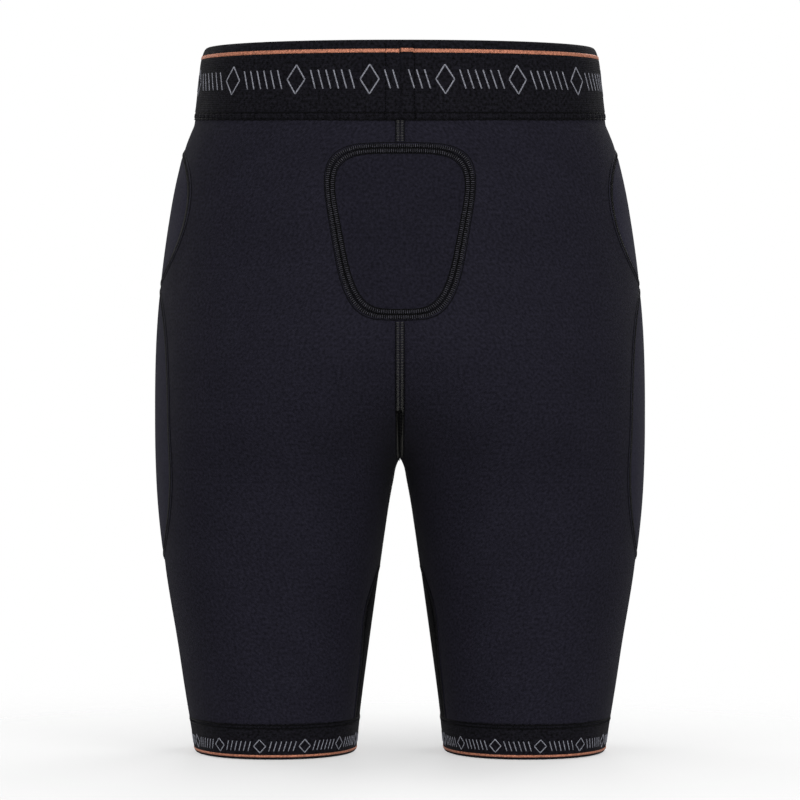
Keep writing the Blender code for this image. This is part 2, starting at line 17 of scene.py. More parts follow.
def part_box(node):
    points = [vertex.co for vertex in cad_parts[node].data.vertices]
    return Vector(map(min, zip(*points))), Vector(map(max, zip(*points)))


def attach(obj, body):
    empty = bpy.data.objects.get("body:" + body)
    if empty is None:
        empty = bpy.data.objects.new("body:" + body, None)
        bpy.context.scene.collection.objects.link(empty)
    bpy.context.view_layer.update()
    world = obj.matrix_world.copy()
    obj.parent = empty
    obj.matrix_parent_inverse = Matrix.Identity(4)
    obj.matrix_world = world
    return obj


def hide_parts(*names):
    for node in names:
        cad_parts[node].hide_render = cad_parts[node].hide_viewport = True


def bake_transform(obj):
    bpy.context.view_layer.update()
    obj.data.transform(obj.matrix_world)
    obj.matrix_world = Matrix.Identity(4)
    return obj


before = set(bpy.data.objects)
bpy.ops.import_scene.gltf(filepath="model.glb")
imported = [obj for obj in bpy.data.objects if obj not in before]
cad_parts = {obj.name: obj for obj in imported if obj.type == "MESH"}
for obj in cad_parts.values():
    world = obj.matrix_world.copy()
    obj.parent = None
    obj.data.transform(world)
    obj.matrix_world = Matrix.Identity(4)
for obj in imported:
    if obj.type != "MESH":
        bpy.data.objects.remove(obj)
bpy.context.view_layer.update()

# Heights from the frame
WAIST_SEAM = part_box("waistband")[0].z
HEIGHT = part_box("waistband")[1].z
HEM_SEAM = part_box("hem_band_left")[1].z
CROTCH = 0.199
SPLIT_HEIGHT = 0.135  # above the crotch, by which the two leg outlines have become one
SPLIT_START = 0.35
SIDE_LINE_Y = -0.0112

# Level sections: (height, distance) stations, and how square the outline is
OUTER_EDGE = (
    (0.0, 0.139), (0.06, 0.1487), (0.12, 0.1585), (0.165, 0.1637), (0.23, 0.1655),
    (0.29, 0.1642), (0.35, 0.1577), (0.39, 0.1505), (0.412, 0.1446), (0.424, 0.1398),
)
INNER_EDGE = (
    (0.0, 0.030), (0.031, 0.0265), (0.075, 0.0207), (0.118, 0.0148),
    (0.150, 0.0103), (0.172, 0.0069), (0.183, 0.0048), (0.194, 0.0024), (0.199, 0.0),
)
BACK_DEPTH = (
    (0.0, 0.070), (0.06, 0.0775), (0.12, 0.0875), (0.19, 0.105), (0.23, 0.124),
    (0.265, 0.1325), (0.30, 0.130), (0.34, 0.1195), (0.39, 0.106), (0.424, 0.0965),
)
FRONT_DEPTH = (
    (0.0, 0.064), (0.06, 0.071), (0.12, 0.080), (0.19, 0.0925), (0.25, 0.101),
    (0.32, 0.106), (0.38, 0.1035), (0.424, 0.0985),
)
WAIST_TAPER = {"outer": 0.0055, "back": 0.004, "front": 0.003}
SQUARENESS = 2.15
POUCH_RISE = 0.012
POUCH_SPREAD = 0.042
POUCH_BOTTOM, POUCH_PEAK, POUCH_TOP = 0.200, 0.255, 0.345

# Pocket outlines on the body surface
HIP_POCKET = {"centre": 0.3605, "half_height": 0.0465, "half_width": 0.053, "power": 2.1}
THIGH_POCKET = {"centre": 0.222, "half_height": 0.0925, "half_width": 0.066, "power": 2.1}
TAILBONE_POCKET = {
    "centre": 0.3495, "half_height": 0.0583, "half_width": 0.0453, "power": 4.0, "flare": 0.22,
}

# Pads, and the lines the pads slide out along
FOAM = 0.008
HIP_PAD_TILT = 0.23
TAILBONE_PAD_TILT = 0.265
PAD_CLEARANCE = 0.0028
TAPE_CLEARANCE = 0.0016
HIP_PAD = {"centre": 0.3615, "half_height": 0.0325, "half_width": 0.037, "power": 4.0}
TAILBONE_PAD = {"centre": 0.348, "half_height": 0.045, "half_width": 0.031, "power": 4.0}
THIGH_PAD = {"centre": 0.219, "half_height": 0.074, "half_width": 0.052, "power": 2.4}

# Cloth layers and sewing
FABRIC = 0.0012
PATCH = 0.0006
PATCH_SINK = 0.0002
RECESS = 0.0004  # the body cloth lies this much deeper behind a patch
BAND_LIFT = 0.0003
BAND_DEPTH = 0.0017
THREAD = 0.00026
STITCH = 0.0024
STITCH_GAP = 0.0007
ROW_STEP = 0.003
ROW_THREAD = (0.00035, 0.0002)  # half the width and half the height of a row of stitches
RUNG_RADIUS = 0.00022
RUNG_PITCH = 0.0011
RUNG_MARGIN = 0.0003  # between a rung's end and its row
SEAM_LIFT = 0.0001
BODY_SEAM_LINES = (-0.0018, 0.0018)  # where a flat seam's rows lie beside its path
CENTRE_SEAM_LINES = (-0.0027, 0.0, 0.0027)


# ---------------------------------------------------------------- the body surface


def smooth_step(value):
    value = min(1.0, max(0.0, value))
    return value * value * (3.0 - 2.0 * value)


def along(stations, height):
    """A smooth curve through the stations, read at a height."""
    heights = [station[0] for station in stations]
    values = [station[1] for station in stations]
    slopes = np.gradient(values, heights)
    height = min(max(height, heights[0]), heights[-1])
    index = min(int(np.searchsorted(heights, height, side="right")) - 1, len(heights) - 2)
    span = heights[index + 1] - heights[index]
    t = (height - heights[index]) / span
    ease = t * t * (3.0 - 2.0 * t)
    leave = t * (1.0 - t) * (1.0 - t) * span * slopes[index]
    arrive = t * t * (1.0 - t) * span * slopes[index + 1]
    return values[index] * (1.0 - ease) + values[index + 1] * ease + leave - arrive


def sizes_at(height):
    """Outer edge, inner edge, back depth and front depth of the left half at a height."""
    above_seam = max(0.0, height - WAIST_SEAM) / (HEIGHT - WAIST_SEAM)
    outer = along(OUTER_EDGE, height) - WAIST_TAPER["outer"] * above_seam
    back = along(BACK_DEPTH, height) - WAIST_TAPER["back"] * above_seam
    front = along(FRONT_DEPTH, height) - WAIST_TAPER["front"] * above_seam
    if height <= CROTCH:
        return outer, along(INNER_EDGE, height), back, front
    rise = min(1.0, (height - CROTCH) / SPLIT_HEIGHT)
    joined = smooth_step(rise) + SPLIT_START * rise * (1.0 - rise) ** 2
    return outer, -outer * joined, back, front


def pouch_bulge(height):
    if not POUCH_BOTTOM < height < POUCH_TOP:
        return 0.0
    if height < POUCH_PEAK:
        reach = (height - POUCH_BOTTOM) / (POUCH_PEAK - POUCH_BOTTOM)
    else:
        reach = (POUCH_TOP - height) / (POUCH_TOP - POUCH_PEAK)
    return POUCH_RISE * smooth_step(reach)


class Section:
    """The left half's outline at one height, from the centre front or inner leg to the back."""

    def __init__(self, height):
        outer, inner, back, front = sizes_at(height)
        centre, half_width = 0.5 * (outer + inner), 0.5 * (outer - inner)
        turn = np.radians(np.linspace(-180.0, 180.0, 721))
        power = 2.0 / SQUARENESS
        x = centre + half_width * np.sign(np.cos(turn)) * np.abs(np.cos(turn)) ** power
        depth = np.where(turn > 0.0, back, front)
        y = depth * np.sign(np.sin(turn)) * np.abs(np.sin(turn)) ** power
        y -= np.where(turn < 0.0, pouch_bulge(height) * np.exp(-((x / POUCH_SPREAD) ** 2)), 0.0)
        if inner < 0.0:
            x, y = self.clipped(x, y)
        steps = np.hypot(np.diff(x), np.diff(y))
        travel = np.concatenate([[0.0], np.cumsum(steps)])
        side = np.interp(0.0, y[self.forward(y)], travel[self.forward(y)])
        self.travel = travel - side
        self.x, self.y = x, y
        along_x, along_y = np.gradient(x, travel), np.gradient(y, travel)
        length = np.hypot(along_x, along_y)
        self.normal_x, self.normal_y = along_y / length, -along_x / length
        self.front_end, self.back_end = self.travel[0], self.travel[-1]
        self.length = self.back_end - self.front_end

    @staticmethod
    def clipped(x, y):
        """Keeps the run with x >= 0 and ends it exactly on the middle plane."""
        kept = np.flatnonzero(x >= 0.0)
        first, last = kept[0], kept[-1]
        part_in = x[first] / (x[first] - x[first - 1])
        start_y = y[first] + part_in * (y[first - 1] - y[first])
        part_out = x[last] / (x[last] - x[last + 1])
        end_y = y[last] + part_out * (y[last + 1] - y[last])
        x = np.concatenate([[0.0], x[first : last + 1], [0.0]])
        y = np.concatenate([[start_y], y[first : last + 1], [end_y]])
        keep = np.concatenate([[True], np.hypot(np.diff(x), np.diff(y)) > 1e-9])
        return x[keep], y[keep]

    @staticmethod
    def forward(y):
        """The run along which y only grows, from the front's deepest point to the back's."""
        return slice(int(np.argmin(y)), int(np.argmax(y)) + 1)

    def at(self, travel, lift=0.0):
        x, y, normal_x, normal_y = (
            float(np.interp(travel, self.travel, values))
            for values in (self.x, self.y, self.normal_x, self.normal_y)
        )
        length = math.hypot(normal_x, normal_y)
        return x + lift * normal_x / length, y + lift * normal_y / length + SIDE_LINE_Y

    def travel_at_depth(self, depth):
        """Travel to the side point this far behind the side line."""
        run = self.forward(self.y)
        return float(np.interp(depth, self.y[run], self.travel[run]))

    def travel_at_back(self, across):
        run = slice(int(np.argmax(self.x)), None)
        return float(np.interp(-across, -self.x[run], self.travel[run]))

    def travel_at_front(self, across):
        run = slice(0, int(np.argmax(self.x)) + 1)
        return float(np.interp(across, self.x[run], self.travel[run]))


SECTION_STEP = 0.0002


@functools.lru_cache(maxsize=None)
def section_at(step):
    return Section(step * SECTION_STEP)


def section(height):
    """The nearest of the sections, which lie one step apart."""
    return section_at(round(height / SECTION_STEP))


def surface(travel, height, lift=0.0):
    """A point of the left half's surface. Travel past the end of a leg's outline goes round it."""
    level = section(height)
    if height <= CROTCH:
        travel = (travel - level.front_end) % level.length + level.front_end
    return (*level.at(travel, lift), height)


def side_point(depth, height, lift=0.0):
    return surface(section(height).travel_at_depth(depth), height, lift)


def back_point(across, height, lift=0.0):
    """A point of the back, this far towards the wearer's right of the middle."""
    x, y, z = surface(section(height).travel_at_back(abs(across)), height, lift)
    return (-math.copysign(x, across), y, z)


def front_point(across, height, lift=0.0):
    """A point of the front, this far towards the wearer's left of the middle."""
    x, y, z = surface(section(height).travel_at_front(abs(across)), height, lift)
    return (math.copysign(x, across), y, z)


WAIST_HALF = section(HEIGHT - 0.02).length
LEG_ROUND = section(HEM_SEAM / 2).length
WAIST_EDGE = WAIST_SEAM + 0.0038  # the waistband's lower edge at the front and sides
WAIST_DIP = 0.0056  # how much lower that edge lies at the centre back


def share_behind(y):
    """From 0 at the side line to 1 at the waist's centre back."""
    return max(0.0, (y - SIDE_LINE_Y) / BACK_DEPTH[-1][1])


def around_waist(run, height, lift=0.0):
    """A point of the waist ring, run metres from the centre back over the wearer's left side.

    The height is the one at the front and sides; the band dips behind, most at its lower edge.
    """
    run = run % (2.0 * WAIST_HALF)
    side = 1.0 if run <= WAIST_HALF else -1.0
    share = min(run, 2.0 * WAIST_HALF - run) / WAIST_HALF
    level = section(height)
    x, y = level.at(level.back_end - share * level.length, lift)
    dip = WAIST_DIP * share_behind(y - lift) * (HEIGHT - height) / (HEIGHT - WAIST_EDGE)
    level = section(height - dip)
    x, y = level.at(level.back_end - share * level.length, lift)
    return (side * x, y, height - dip)


def around_leg(run, height, lift=0.0):
    """A point of the left leg's ring, run metres from the innermost line over the front."""
    level = section(height)
    return surface(level.front_end + (run / LEG_ROUND) * level.length, height, lift)


# ---------------------------------------------------------------- meshes


def make_piece(name, points, faces, look, uvs=None):
    mesh = bpy.data.meshes.new(name)
    mesh.from_pydata(np.asarray(points).tolist(), [], faces)
    if uvs is not None:
        layer = mesh.uv_layers.new(name="cloth")
        corner = np.empty(len(mesh.loops), dtype=np.int32)
        mesh.loops.foreach_get("vertex_index", corner)
        layer.data.foreach_set("uv", np.asarray(uvs, dtype=np.float32)[corner].ravel())
    mesh.shade_smooth()
    mesh.materials.append(look)
    piece = bpy.data.objects.new(name, mesh)
    bpy.context.scene.collection.objects.link(piece)
    return piece


def grid_faces(rows, columns, close_rows=False, close_columns=False, first=0):
    faces = []
    for row in range(rows if close_rows else rows - 1):
        for column in range(columns if close_columns else columns - 1):
            right, up = (column + 1) % columns, (row + 1) % rows
            faces.append((
                first + row * columns + column, first + row * columns + right,
                first + up * columns + right, first + up * columns + column,
            ))
    return faces


def apply_modifiers(piece):
    graph = bpy.context.evaluated_depsgraph_get()
    done = bpy.data.meshes.new_from_object(piece.evaluated_get(graph))
    piece.modifiers.clear()
    piece.data = done


def thicken(piece, thickness):
    """Gives a sheet its thickness, inwards from the side its faces look to."""
    solid = piece.modifiers.new("thickness", "SOLIDIFY")
    solid.thickness = thickness
    solid.offset = -1.0
    apply_modifiers(piece)
    return piece


def mirrored_copy(piece, name):
    other = piece.copy()
    other.data = piece.data.copy()
    other.name = other.data.name = name
    other.data.transform(Matrix.Scale(-1.0, 4, (1.0, 0.0, 0.0)))
    other.data.flip_normals()
    bpy.context.scene.collection.objects.link(other)
    return other


def bend_at_hip(piece, side):
    """Bakes a piece's placement into its mesh; nothing bends it at the hip."""
    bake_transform(piece)


def settle(piece, side, body):
    """Fixes a piece to its body: cloth that crosses the hip has its placement baked in, and the rest
    rides.
    """
    if body == "bend":
        bend_at_hip(piece, side)
    elif body == "leg":
        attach(piece, side + "_leg")
    elif body == "hip_pad":
        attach(piece, side + "_hip_pad")
    else:
        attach(piece, body)


def both_sides(piece, body, nodes=()):
    """Settles a left piece and its mirror image. Both stand for the CAD nodes named for a side."""
    stem = piece.name.removesuffix("_left")
    pair = {"left": piece, "right": mirrored_copy(piece, stem + "_right")}
    for side, made in pair.items():
        settle(made, side, body)
        if nodes:
            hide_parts(*(node.format(side=side) for node in nodes))


# ---------------------------------------------------------------- threads and strips


def unit(vectors):
    return vectors / np.maximum(np.linalg.norm(vectors, axis=-1, keepdims=True), 1e-12)


def lifted_frame(place, path):
    """Points, outward normals and onward directions of a path of surface coordinates."""
    path = np.asarray(path, dtype=float)
    step = 0.0004
    base = np.array([place(a, h) for a, h in path])
    out = np.array([place(a, h, step) for a, h in path]) - base
    across = np.array([place(a + step, h) for a, h in path]) - base
    up = np.array([place(a, h + step) for a, h in path]) - base
    normal = unit(np.cross(across, up))
    normal *= np.sign(np.sum(normal * out, axis=1, keepdims=True))
    onward = unit(np.gradient(base, axis=0))
    return base, normal, onward


class Strands:
    """Threads and flat strips of one seam or motif, gathered into one mesh."""

    SIDES = 6

    def __init__(self):
        self.points, self.faces, self.count = [], [], 0

    def add_rings(self, centres, side, normal, half_width, half_height, closed=False):
        """Rings around centres, joined into tubes; the arrays are (tubes, rings, 3)."""
        tubes, rings = centres.shape[:2]
        turn = 2.0 * math.pi * np.arange(self.SIDES) / self.SIDES
        wide = half_width[..., None, None] * np.cos(turn)[:, None] * side[:, :, None, :]
        high = half_height[..., None, None] * np.sin(turn)[:, None] * normal[:, :, None, :]
        points = (centres[:, :, None, :] + wide + high).reshape(-1, 3)
        per_tube = rings * self.SIDES
        pattern = grid_faces(rings, self.SIDES, close_rows=closed, close_columns=True)
        if not closed:
            pattern.append(tuple(reversed(range(self.SIDES))))
            pattern.append(tuple(range(per_tube - self.SIDES, per_tube)))
        for tube in range(tubes):
            first = self.count + tube * per_tube
            self.faces.extend(tuple(first + corner for corner in face) for face in pattern)
        self.points.append(points)
        self.count += len(points)

    def stitches(self, place, path, lift):
        """A row of separate stitches, each arching out of the cloth and back into it."""
        base, normal, onward = lifted_frame(place, path)
        run = np.concatenate([[0.0], np.cumsum(np.linalg.norm(np.diff(base, axis=0), axis=1))])
        number = max(1, round(run[-1] / (STITCH + STITCH_GAP)))
        pitch = run[-1] / number
        middle = (np.arange(number) + 0.5) * pitch
        shape = np.array((-0.5, -0.3, 0.0, 0.3, 0.5)) * (pitch - STITCH_GAP)
        where = middle[:, None] + shape[None, :]

        def read(values):
            return np.stack([np.interp(where, run, values[:, axis]) for axis in range(3)], axis=-1)

        out, onward = unit(read(normal)), unit(read(onward))
        rise = lift + THREAD * np.array((-0.9, 0.35, 0.7, 0.35, -0.9))
        thick = THREAD * np.array((0.45, 0.9, 1.0, 0.9, 0.45)) * np.ones((number, 1))
        centres = read(base) + out * rise[None, :, None]
        self.add_rings(centres, unit(np.cross(out, onward)), out, thick, thick)

    def rungs(self, place, path, half_span, lift, pitch, radius):
        """Short threads side by side across a seam, each arching over the path."""
        base, normal, onward = lifted_frame(place, path)
        run = np.concatenate([[0.0], np.cumsum(np.linalg.norm(np.diff(base, axis=0), axis=1))])
        number = max(1, round(run[-1] / pitch))
        middle = (np.arange(number) + 0.5) * run[-1] / number

        def read(values):
            return np.stack([np.interp(middle, run, values[:, axis]) for axis in range(3)], axis=-1)

        out, onward = unit(read(normal)), unit(read(onward))
        across = np.array((-1.0, -0.6, 0.0, 0.6, 1.0)) * half_span
        rise = lift + radius * np.array((-0.9, 0.4, 0.7, 0.4, -0.9))
        uneven = 1.0 + 0.22 * np.sin(2.4 * np.arange(number)) * np.sin(0.83 * np.arange(number))
        thick = radius * np.array((0.5, 0.95, 1.0, 0.95, 0.5)) * uneven[:, None]
        centres = read(base)[:, None, :] + np.cross(out, onward)[:, None, :] * across[None, :, None]
        centres += out[:, None, :] * rise[None, :, None]
        ring_side = np.repeat(onward[:, None, :], 5, axis=1)
        self.add_rings(centres, ring_side, np.repeat(out[:, None, :], 5, axis=1), thick, thick)

    def running(self, place, path, lift, half_width, half_height, closed=False):
        """One unbroken thread or flat strip along a path."""
        base, normal, onward = lifted_frame(place, path)
        if closed:
            onward = unit(np.roll(base, -1, axis=0) - np.roll(base, 1, axis=0))
        centres = (base + normal * lift)[None]
        sizes = np.ones((1, len(base)))
        side = unit(np.cross(normal, onward))[None]
        self.add_rings(centres, side, normal[None], half_width * sizes, half_height * sizes, closed)

    def piece(self, name, look, slot):
        return make_piece(name, np.concatenate(self.points), self.faces, look)


def shifted(path, offset):
    """The path moved sideways, to its right, in surface coordinates."""
    path = np.asarray(path, dtype=float)
    onward = unit(np.gradient(path, axis=0))
    return path + offset * np.stack([onward[:, 1], -onward[:, 0]], axis=1)


def flat_seam(stem, place, path, lines, lift, rung_look, pitch=RUNG_PITCH):
    """Dark rows of stitches along a path, with short threads laid across between the rows.

    The pieces are named for the stem, with the word rows or rungs put before a trailing _left.
    """
    rows, rungs = Strands(), Strands()
    for line in lines:
        rows.running(place, shifted(path, line), lift, *ROW_THREAD)
    for low, high in zip(lines[:-1], lines[1:]):
        middle = shifted(path, 0.5 * (low + high))
        half_span = 0.5 * (high - low) - RUNG_MARGIN
        rungs.rungs(place, middle, half_span, lift, pitch, RUNG_RADIUS)
    side = "_left" if stem.endswith("_left") else ""
    stem = stem.removesuffix(side)
    return (
        rows.piece(stem + "_rows" + side, BLACK_THREAD_AND_SHADE, "thread"),
        rungs.piece(stem + "_rungs" + side, rung_look, "thread"),
    )


# ---------------------------------------------------------------- materials


class Look:
    """A node material being put together around its Principled shader."""

    def __init__(self, name, roughness, **inputs):
        self.material = bpy.data.materials.new(name)
        self.material.use_nodes = True
        self.tree = self.material.node_tree
        self.shader = self.tree.nodes["Principled BSDF"]
        self.set(Roughness=roughness, **inputs)

    def feed(self, socket, value):
        if isinstance(value, bpy.types.NodeSocket):
            self.tree.links.new(value, socket)
        else:
            socket.default_value = value

    def set(self, **inputs):
        for name, value in inputs.items():
            self.feed(self.shader.inputs[name.replace("_", " ")], value)

    def add(self, kind, output=0, settings=None, **inputs):
        node = self.tree.nodes.new(kind)
        for name, value in (settings or {}).items():
            setattr(node, name, value)
        for name, value in inputs.items():
            self.feed(node.inputs[name.replace("_", " ")], value)
        return node.outputs[output]

    def math(self, operation, first, second=0.0):
        node = self.tree.nodes.new("ShaderNodeMath")
        node.operation = operation
        self.feed(node.inputs[0], first)
        self.feed(node.inputs[1], second)
        return node.outputs[0]

    def cloth_axes(self):
        """Distance across and up the cloth, in metres."""
        spot = self.add("ShaderNodeUVMap", settings={"uv_map": "cloth"})
        split = self.tree.nodes.new("ShaderNodeSeparateXYZ")
        self.tree.links.new(spot, split.inputs[0])
        return spot, split.outputs[0], split.outputs[1]

    def wave(self, place, pitch):
        """A sine of the place, from -1 to 1, that repeats every pitch."""
        return self.math("SINE", self.math("MULTIPLY", place, 2.0 * math.pi / pitch))

    def noise(self, spot, size, detail=2.0):
        """Smooth noise about 0.5 whose blotches have this size."""
        return self.add("ShaderNodeTexNoise", Vector=spot, Scale=1.0 / size, Detail=detail)

    def between(self, value, low, high):
        """A value of about 0 to 1 carried over to low to high."""
        return self.add(
            "ShaderNodeMapRange", Value=value, From_Min=0.3, From_Max=0.7, To_Min=low, To_Max=high
        )

    def shaded(self, colour, strength):
        return self.add("ShaderNodeHueSaturation", Color=(*colour, 1.0), Value=strength)

    def bumped(self, height, depth, strength=1.0):
        return self.add("ShaderNodeBump", Height=height, Distance=depth, Strength=strength)


def knit_look(name, colour, wale, course, roughness=0.86, sheen=0.012, fleck=0.42):
    """Fine stretch knit: columns of slanted loops with painted shade in their hollows, mottled dye and a
    faint bloom at the edges.
    """
    look = Look(name, roughness, Sheen_Weight=sheen, Sheen_Roughness=0.45)
    spot, across, up = look.cloth_axes()
    drift = look.math("MULTIPLY", look.math("SUBTRACT", look.noise(spot, 0.004), 0.5), wale)
    column = look.math("DIVIDE", look.math("ADD", across, drift), wale)
    slant = look.math("ABSOLUTE", look.math("SUBTRACT", look.math("FRACT", column), 0.5))
    loops = look.wave(look.math("ADD", look.math("DIVIDE", up, course), slant), 1.0)
    furrow = look.math("MULTIPLY", slant, -1.6)
    height = look.math("ADD", look.math("MULTIPLY", loops, 0.3), furrow)
    mottle = look.between(look.noise(spot, 0.030, 3.0), 0.93, 1.07)
    grain = look.between(look.noise(spot, 0.0019, 3.0), 1.0 - fleck, 1.0 + fleck)
    # Painted shade: the colour is lighter on the loops' crests and darker in their hollows.
    painted_loop_shade = look.between(look.math("ADD", look.math("MULTIPLY", loops, 0.2), 0.5), 0.93, 1.07)
    strength = look.math("MULTIPLY", look.math("MULTIPLY", mottle, grain), painted_loop_shade)
    wear = look.between(look.noise(spot, 0.012, 3.0), roughness - 0.05, roughness + 0.05)
    look.set(
        Base_Color=look.shaded(colour, strength), Roughness=wear,
        Specular_IOR_Level=0.06, Normal=look.bumped(height, 0.00009),
    )
    return look.material


def mesh_look(name, colour, pitch, roughness=0.75):
    """Power mesh: rows of small round openings, each row offset by half a step; the openings are painted
    dark for the shade seen through them.
    """
    look = Look(name, roughness, Specular_IOR_Level=0.03)
    spot, across, up = look.cloth_axes()
    row = look.math("DIVIDE", up, pitch * 0.8)
    odd = look.math("MULTIPLY", look.math("MODULO", look.math("FLOOR", row), 2.0), 0.5)
    column = look.math("ADD", look.math("DIVIDE", across, pitch), odd)
    side = look.math("SUBTRACT", look.math("FRACT", column), 0.5)
    rise = look.math("SUBTRACT", look.math("FRACT", row), 0.5)
    squares = look.math("ADD", look.math("POWER", side, 2.0), look.math("POWER", rise, 2.0))
    reach = look.math("SQRT", squares)
    web = look.add(
        "ShaderNodeMapRange", Value=reach, From_Min=0.2, From_Max=0.34, To_Min=0.0, To_Max=1.0
    )
    grain = look.between(look.noise(spot, 0.0012, 2.0), 0.75, 1.3)
    # Painted shade: the openings get a quarter of the web's brightness, for the shadowed inside seen
    # through them.
    strength = look.math("MULTIPLY", look.math("ADD", look.math("MULTIPLY", web, 0.75), 0.25), grain)
    look.set(Base_Color=look.shaded(colour, strength), Normal=look.bumped(web, 0.00025))
    return look.material


def elastic_look(name, colour):
    """Woven elastic: fine level ribs crossed by upright warp threads, with a brushed face."""
    look = Look(name, 0.8, Sheen_Weight=0.01, Sheen_Roughness=0.5)
    spot, across, up = look.cloth_axes()
    sway = look.math("MULTIPLY", look.math("SUBTRACT", look.noise(spot, 0.006), 0.5), 0.0008)
    ribs = look.wave(look.math("ADD", up, sway), 0.0012)
    warp = look.wave(look.math("ADD", across, sway), 0.0008)
    height = look.math("ADD", look.math("MULTIPLY", ribs, 0.6), look.math("MULTIPLY", warp, 0.3))
    grain = look.between(look.noise(spot, 0.0018, 3.0), 0.10, 2.0)
    mottle = look.between(look.noise(spot, 0.02, 3.0), 0.9, 1.12)
    worn = look.between(look.noise(spot, 0.008, 3.0), 0.74, 0.86)
    look.set(
        Base_Color=look.shaded(colour, look.math("MULTIPLY", grain, mottle)), Roughness=worn,
        Specular_IOR_Level=0.06, Normal=look.bumped(height, 0.0001),
    )
    return look.material


def yarn_look(name, colour, roughness=0.6, metallic=0.0, twist=0.0006, contrast=0.25):
    """Sewing thread or woven yarn: a slanted twist painted lighter and darker along its turns as shading,
    with light and dark flecks.
    """
    look = Look(name, roughness, Metallic=metallic, Specular_IOR_Level=0.08)
    place = look.add("ShaderNodeTexCoord", output=3)
    split = look.tree.nodes.new("ShaderNodeSeparateXYZ")
    look.tree.links.new(place, split.inputs[0])
    slope = look.math("ADD", look.math("ADD", split.outputs[0], split.outputs[1]), split.outputs[2])
    turns = look.wave(slope, twist)
    flecks = look.between(look.noise(place, 0.0011, 2.0), 1.0 - contrast, 1.0 + contrast)
    # Painted shade: the colour rises and falls with the twist's relief.
    painted_twist_shade = look.between(look.math("ADD", look.math("MULTIPLY", turns, 0.2), 0.5), 0.85, 1.15)
    look.set(
        Base_Color=look.shaded(colour, look.math("MULTIPLY", flecks, painted_twist_shade)),
        Normal=look.bumped(turns, 0.00005),
    )
    return look.material


def foam_look(name, colour):
    """Closed-cell foam: a matt skin with fine pores and faint scuffs."""
    look = Look(name, 0.85, Specular_IOR_Level=0.3)
    place = look.add("ShaderNodeTexCoord", output=3)
    pores = look.add("ShaderNodeTexVoronoi", Vector=place, Scale=900.0)
    scuffs = look.between(look.noise(place, 0.014, 4.0), 0.85, 1.2)
    specks = look.between(look.noise(place, 0.0012, 2.0), 0.88, 1.12)
    look.set(
        Base_Color=look.shaded(colour, look.math("MULTIPLY", scuffs, specks)),
        Roughness=look.between(look.noise(place, 0.02, 3.0), 0.78, 0.92),
        Normal=look.bumped(pores, 0.0001),
    )
    return look.material


def satin_look(name, colour):
    """Label satin: fine floats along the cloth with a soft gloss."""
    look = Look(name, 0.42, Specular_IOR_Level=0.5, Sheen_Weight=0.1)
    spot, _, up = look.cloth_axes()
    floats = look.wave(up, 0.0005)
    tone = look.between(look.noise(spot, 0.003, 2.0), 0.92, 1.06)
    look.set(
        Base_Color=look.shaded(colour, tone),
        Normal=look.bumped(look.math("ADD", floats, look.noise(spot, 0.0006)), 0.00003),
    )
    return look.material


BODY_KNIT = knit_look("navy_body_knit", (0.0112, 0.0105, 0.0172), 0.0011, 0.0009)
# Painted sheen: the side patches' knit is coloured lighter than the body's for the sheen on their
# grazing-lit faces.
SIDE_KNIT_PAINTED_SHEEN = knit_look("navy_side_knit_painted_sheen", (0.0176, 0.0166, 0.0284), 0.0014, 0.0010, fleck=0.25)
TAILBONE_KNIT = knit_look("navy_tailbone_knit", (0.0098, 0.0092, 0.0153), 0.0011, 0.0009)
GUSSET_MESH = mesh_look("black_gusset_mesh", (0.0030, 0.0029, 0.0042), 0.0022)
LINING_MESH = mesh_look("charcoal_lining_mesh", (0.024, 0.024, 0.028), 0.0026)
ELASTIC_WEAVE = elastic_look("black_elastic", (0.0052, 0.0049, 0.0072))
SEAM_THREAD = yarn_look("charcoal_thread", (0.0066, 0.0065, 0.0086), contrast=0.7)
TICK_THREAD = yarn_look("slate_thread", (0.044, 0.043, 0.054), contrast=0.7)
BLACK_THREAD_AND_SHADE = yarn_look("black_thread_and_painted_shade", (0.0012, 0.0012, 0.0016))
GREY_THREAD = yarn_look("grey_thread", (0.066, 0.066, 0.062))
COPPER_YARN = yarn_look("copper_yarn", (0.46, 0.185, 0.115), 0.5, 0.3, 0.0011, 0.45)
MOTIF_YARN = yarn_look("silver_grey_yarn", (0.22, 0.225, 0.26), 0.6, 0.0, 0.0009, 0.4)
FOAM_SKIN = foam_look("charcoal_foam", (0.045, 0.045, 0.050))
LABEL_SATIN = satin_look("blank_label_satin", (0.62, 0.62, 0.62))


# ---------------------------------------------------------------- body cloth


GUSSET_REACH = ((0.0, 0.0245), (0.033, 0.0265), (0.060, 0.0290), (0.085, 0.0350), (0.1245, 0.0365))
GUSSET_SHOULDER = 0.090  # height above which the gusset narrows to its rounded top
GUSSET_TOP = 0.1245
TUCK = 0.0055  # cloth hidden under the lap of a band
TUCK_DEPTH = 0.0014  # how far inwards it lies there
GROOVE = {"place": 0.0034, "depth": 0.0007, "width": 0.0007}
SLOW_RIPPLE = 0.00035
DRAG_RIPPLE = 0.00018


def waist_edge(travel):
    """Height of the waistband's lower edge, which dips towards the centre back."""
    return WAIST_EDGE - WAIST_DIP * share_behind(section(WAIST_SEAM).at(travel)[1])


def waist_shift(travel, height):
    """How far a level line near the waist seam is moved to follow the band's edge."""
    return (waist_edge(travel) - WAIST_SEAM) * smooth_step((height - WAIST_SEAM + 0.06) / 0.06)


def gusset_reach(height):
    """How far the gusset reaches in front of and behind the innermost line of the leg."""
    if height >= GUSSET_TOP:
        return 0.0
    narrowing = max(0.0, height - GUSSET_SHOULDER) / (GUSSET_TOP - GUSSET_SHOULDER)
    return along(GUSSET_REACH, height) * math.sqrt(1.0 - narrowing**2)


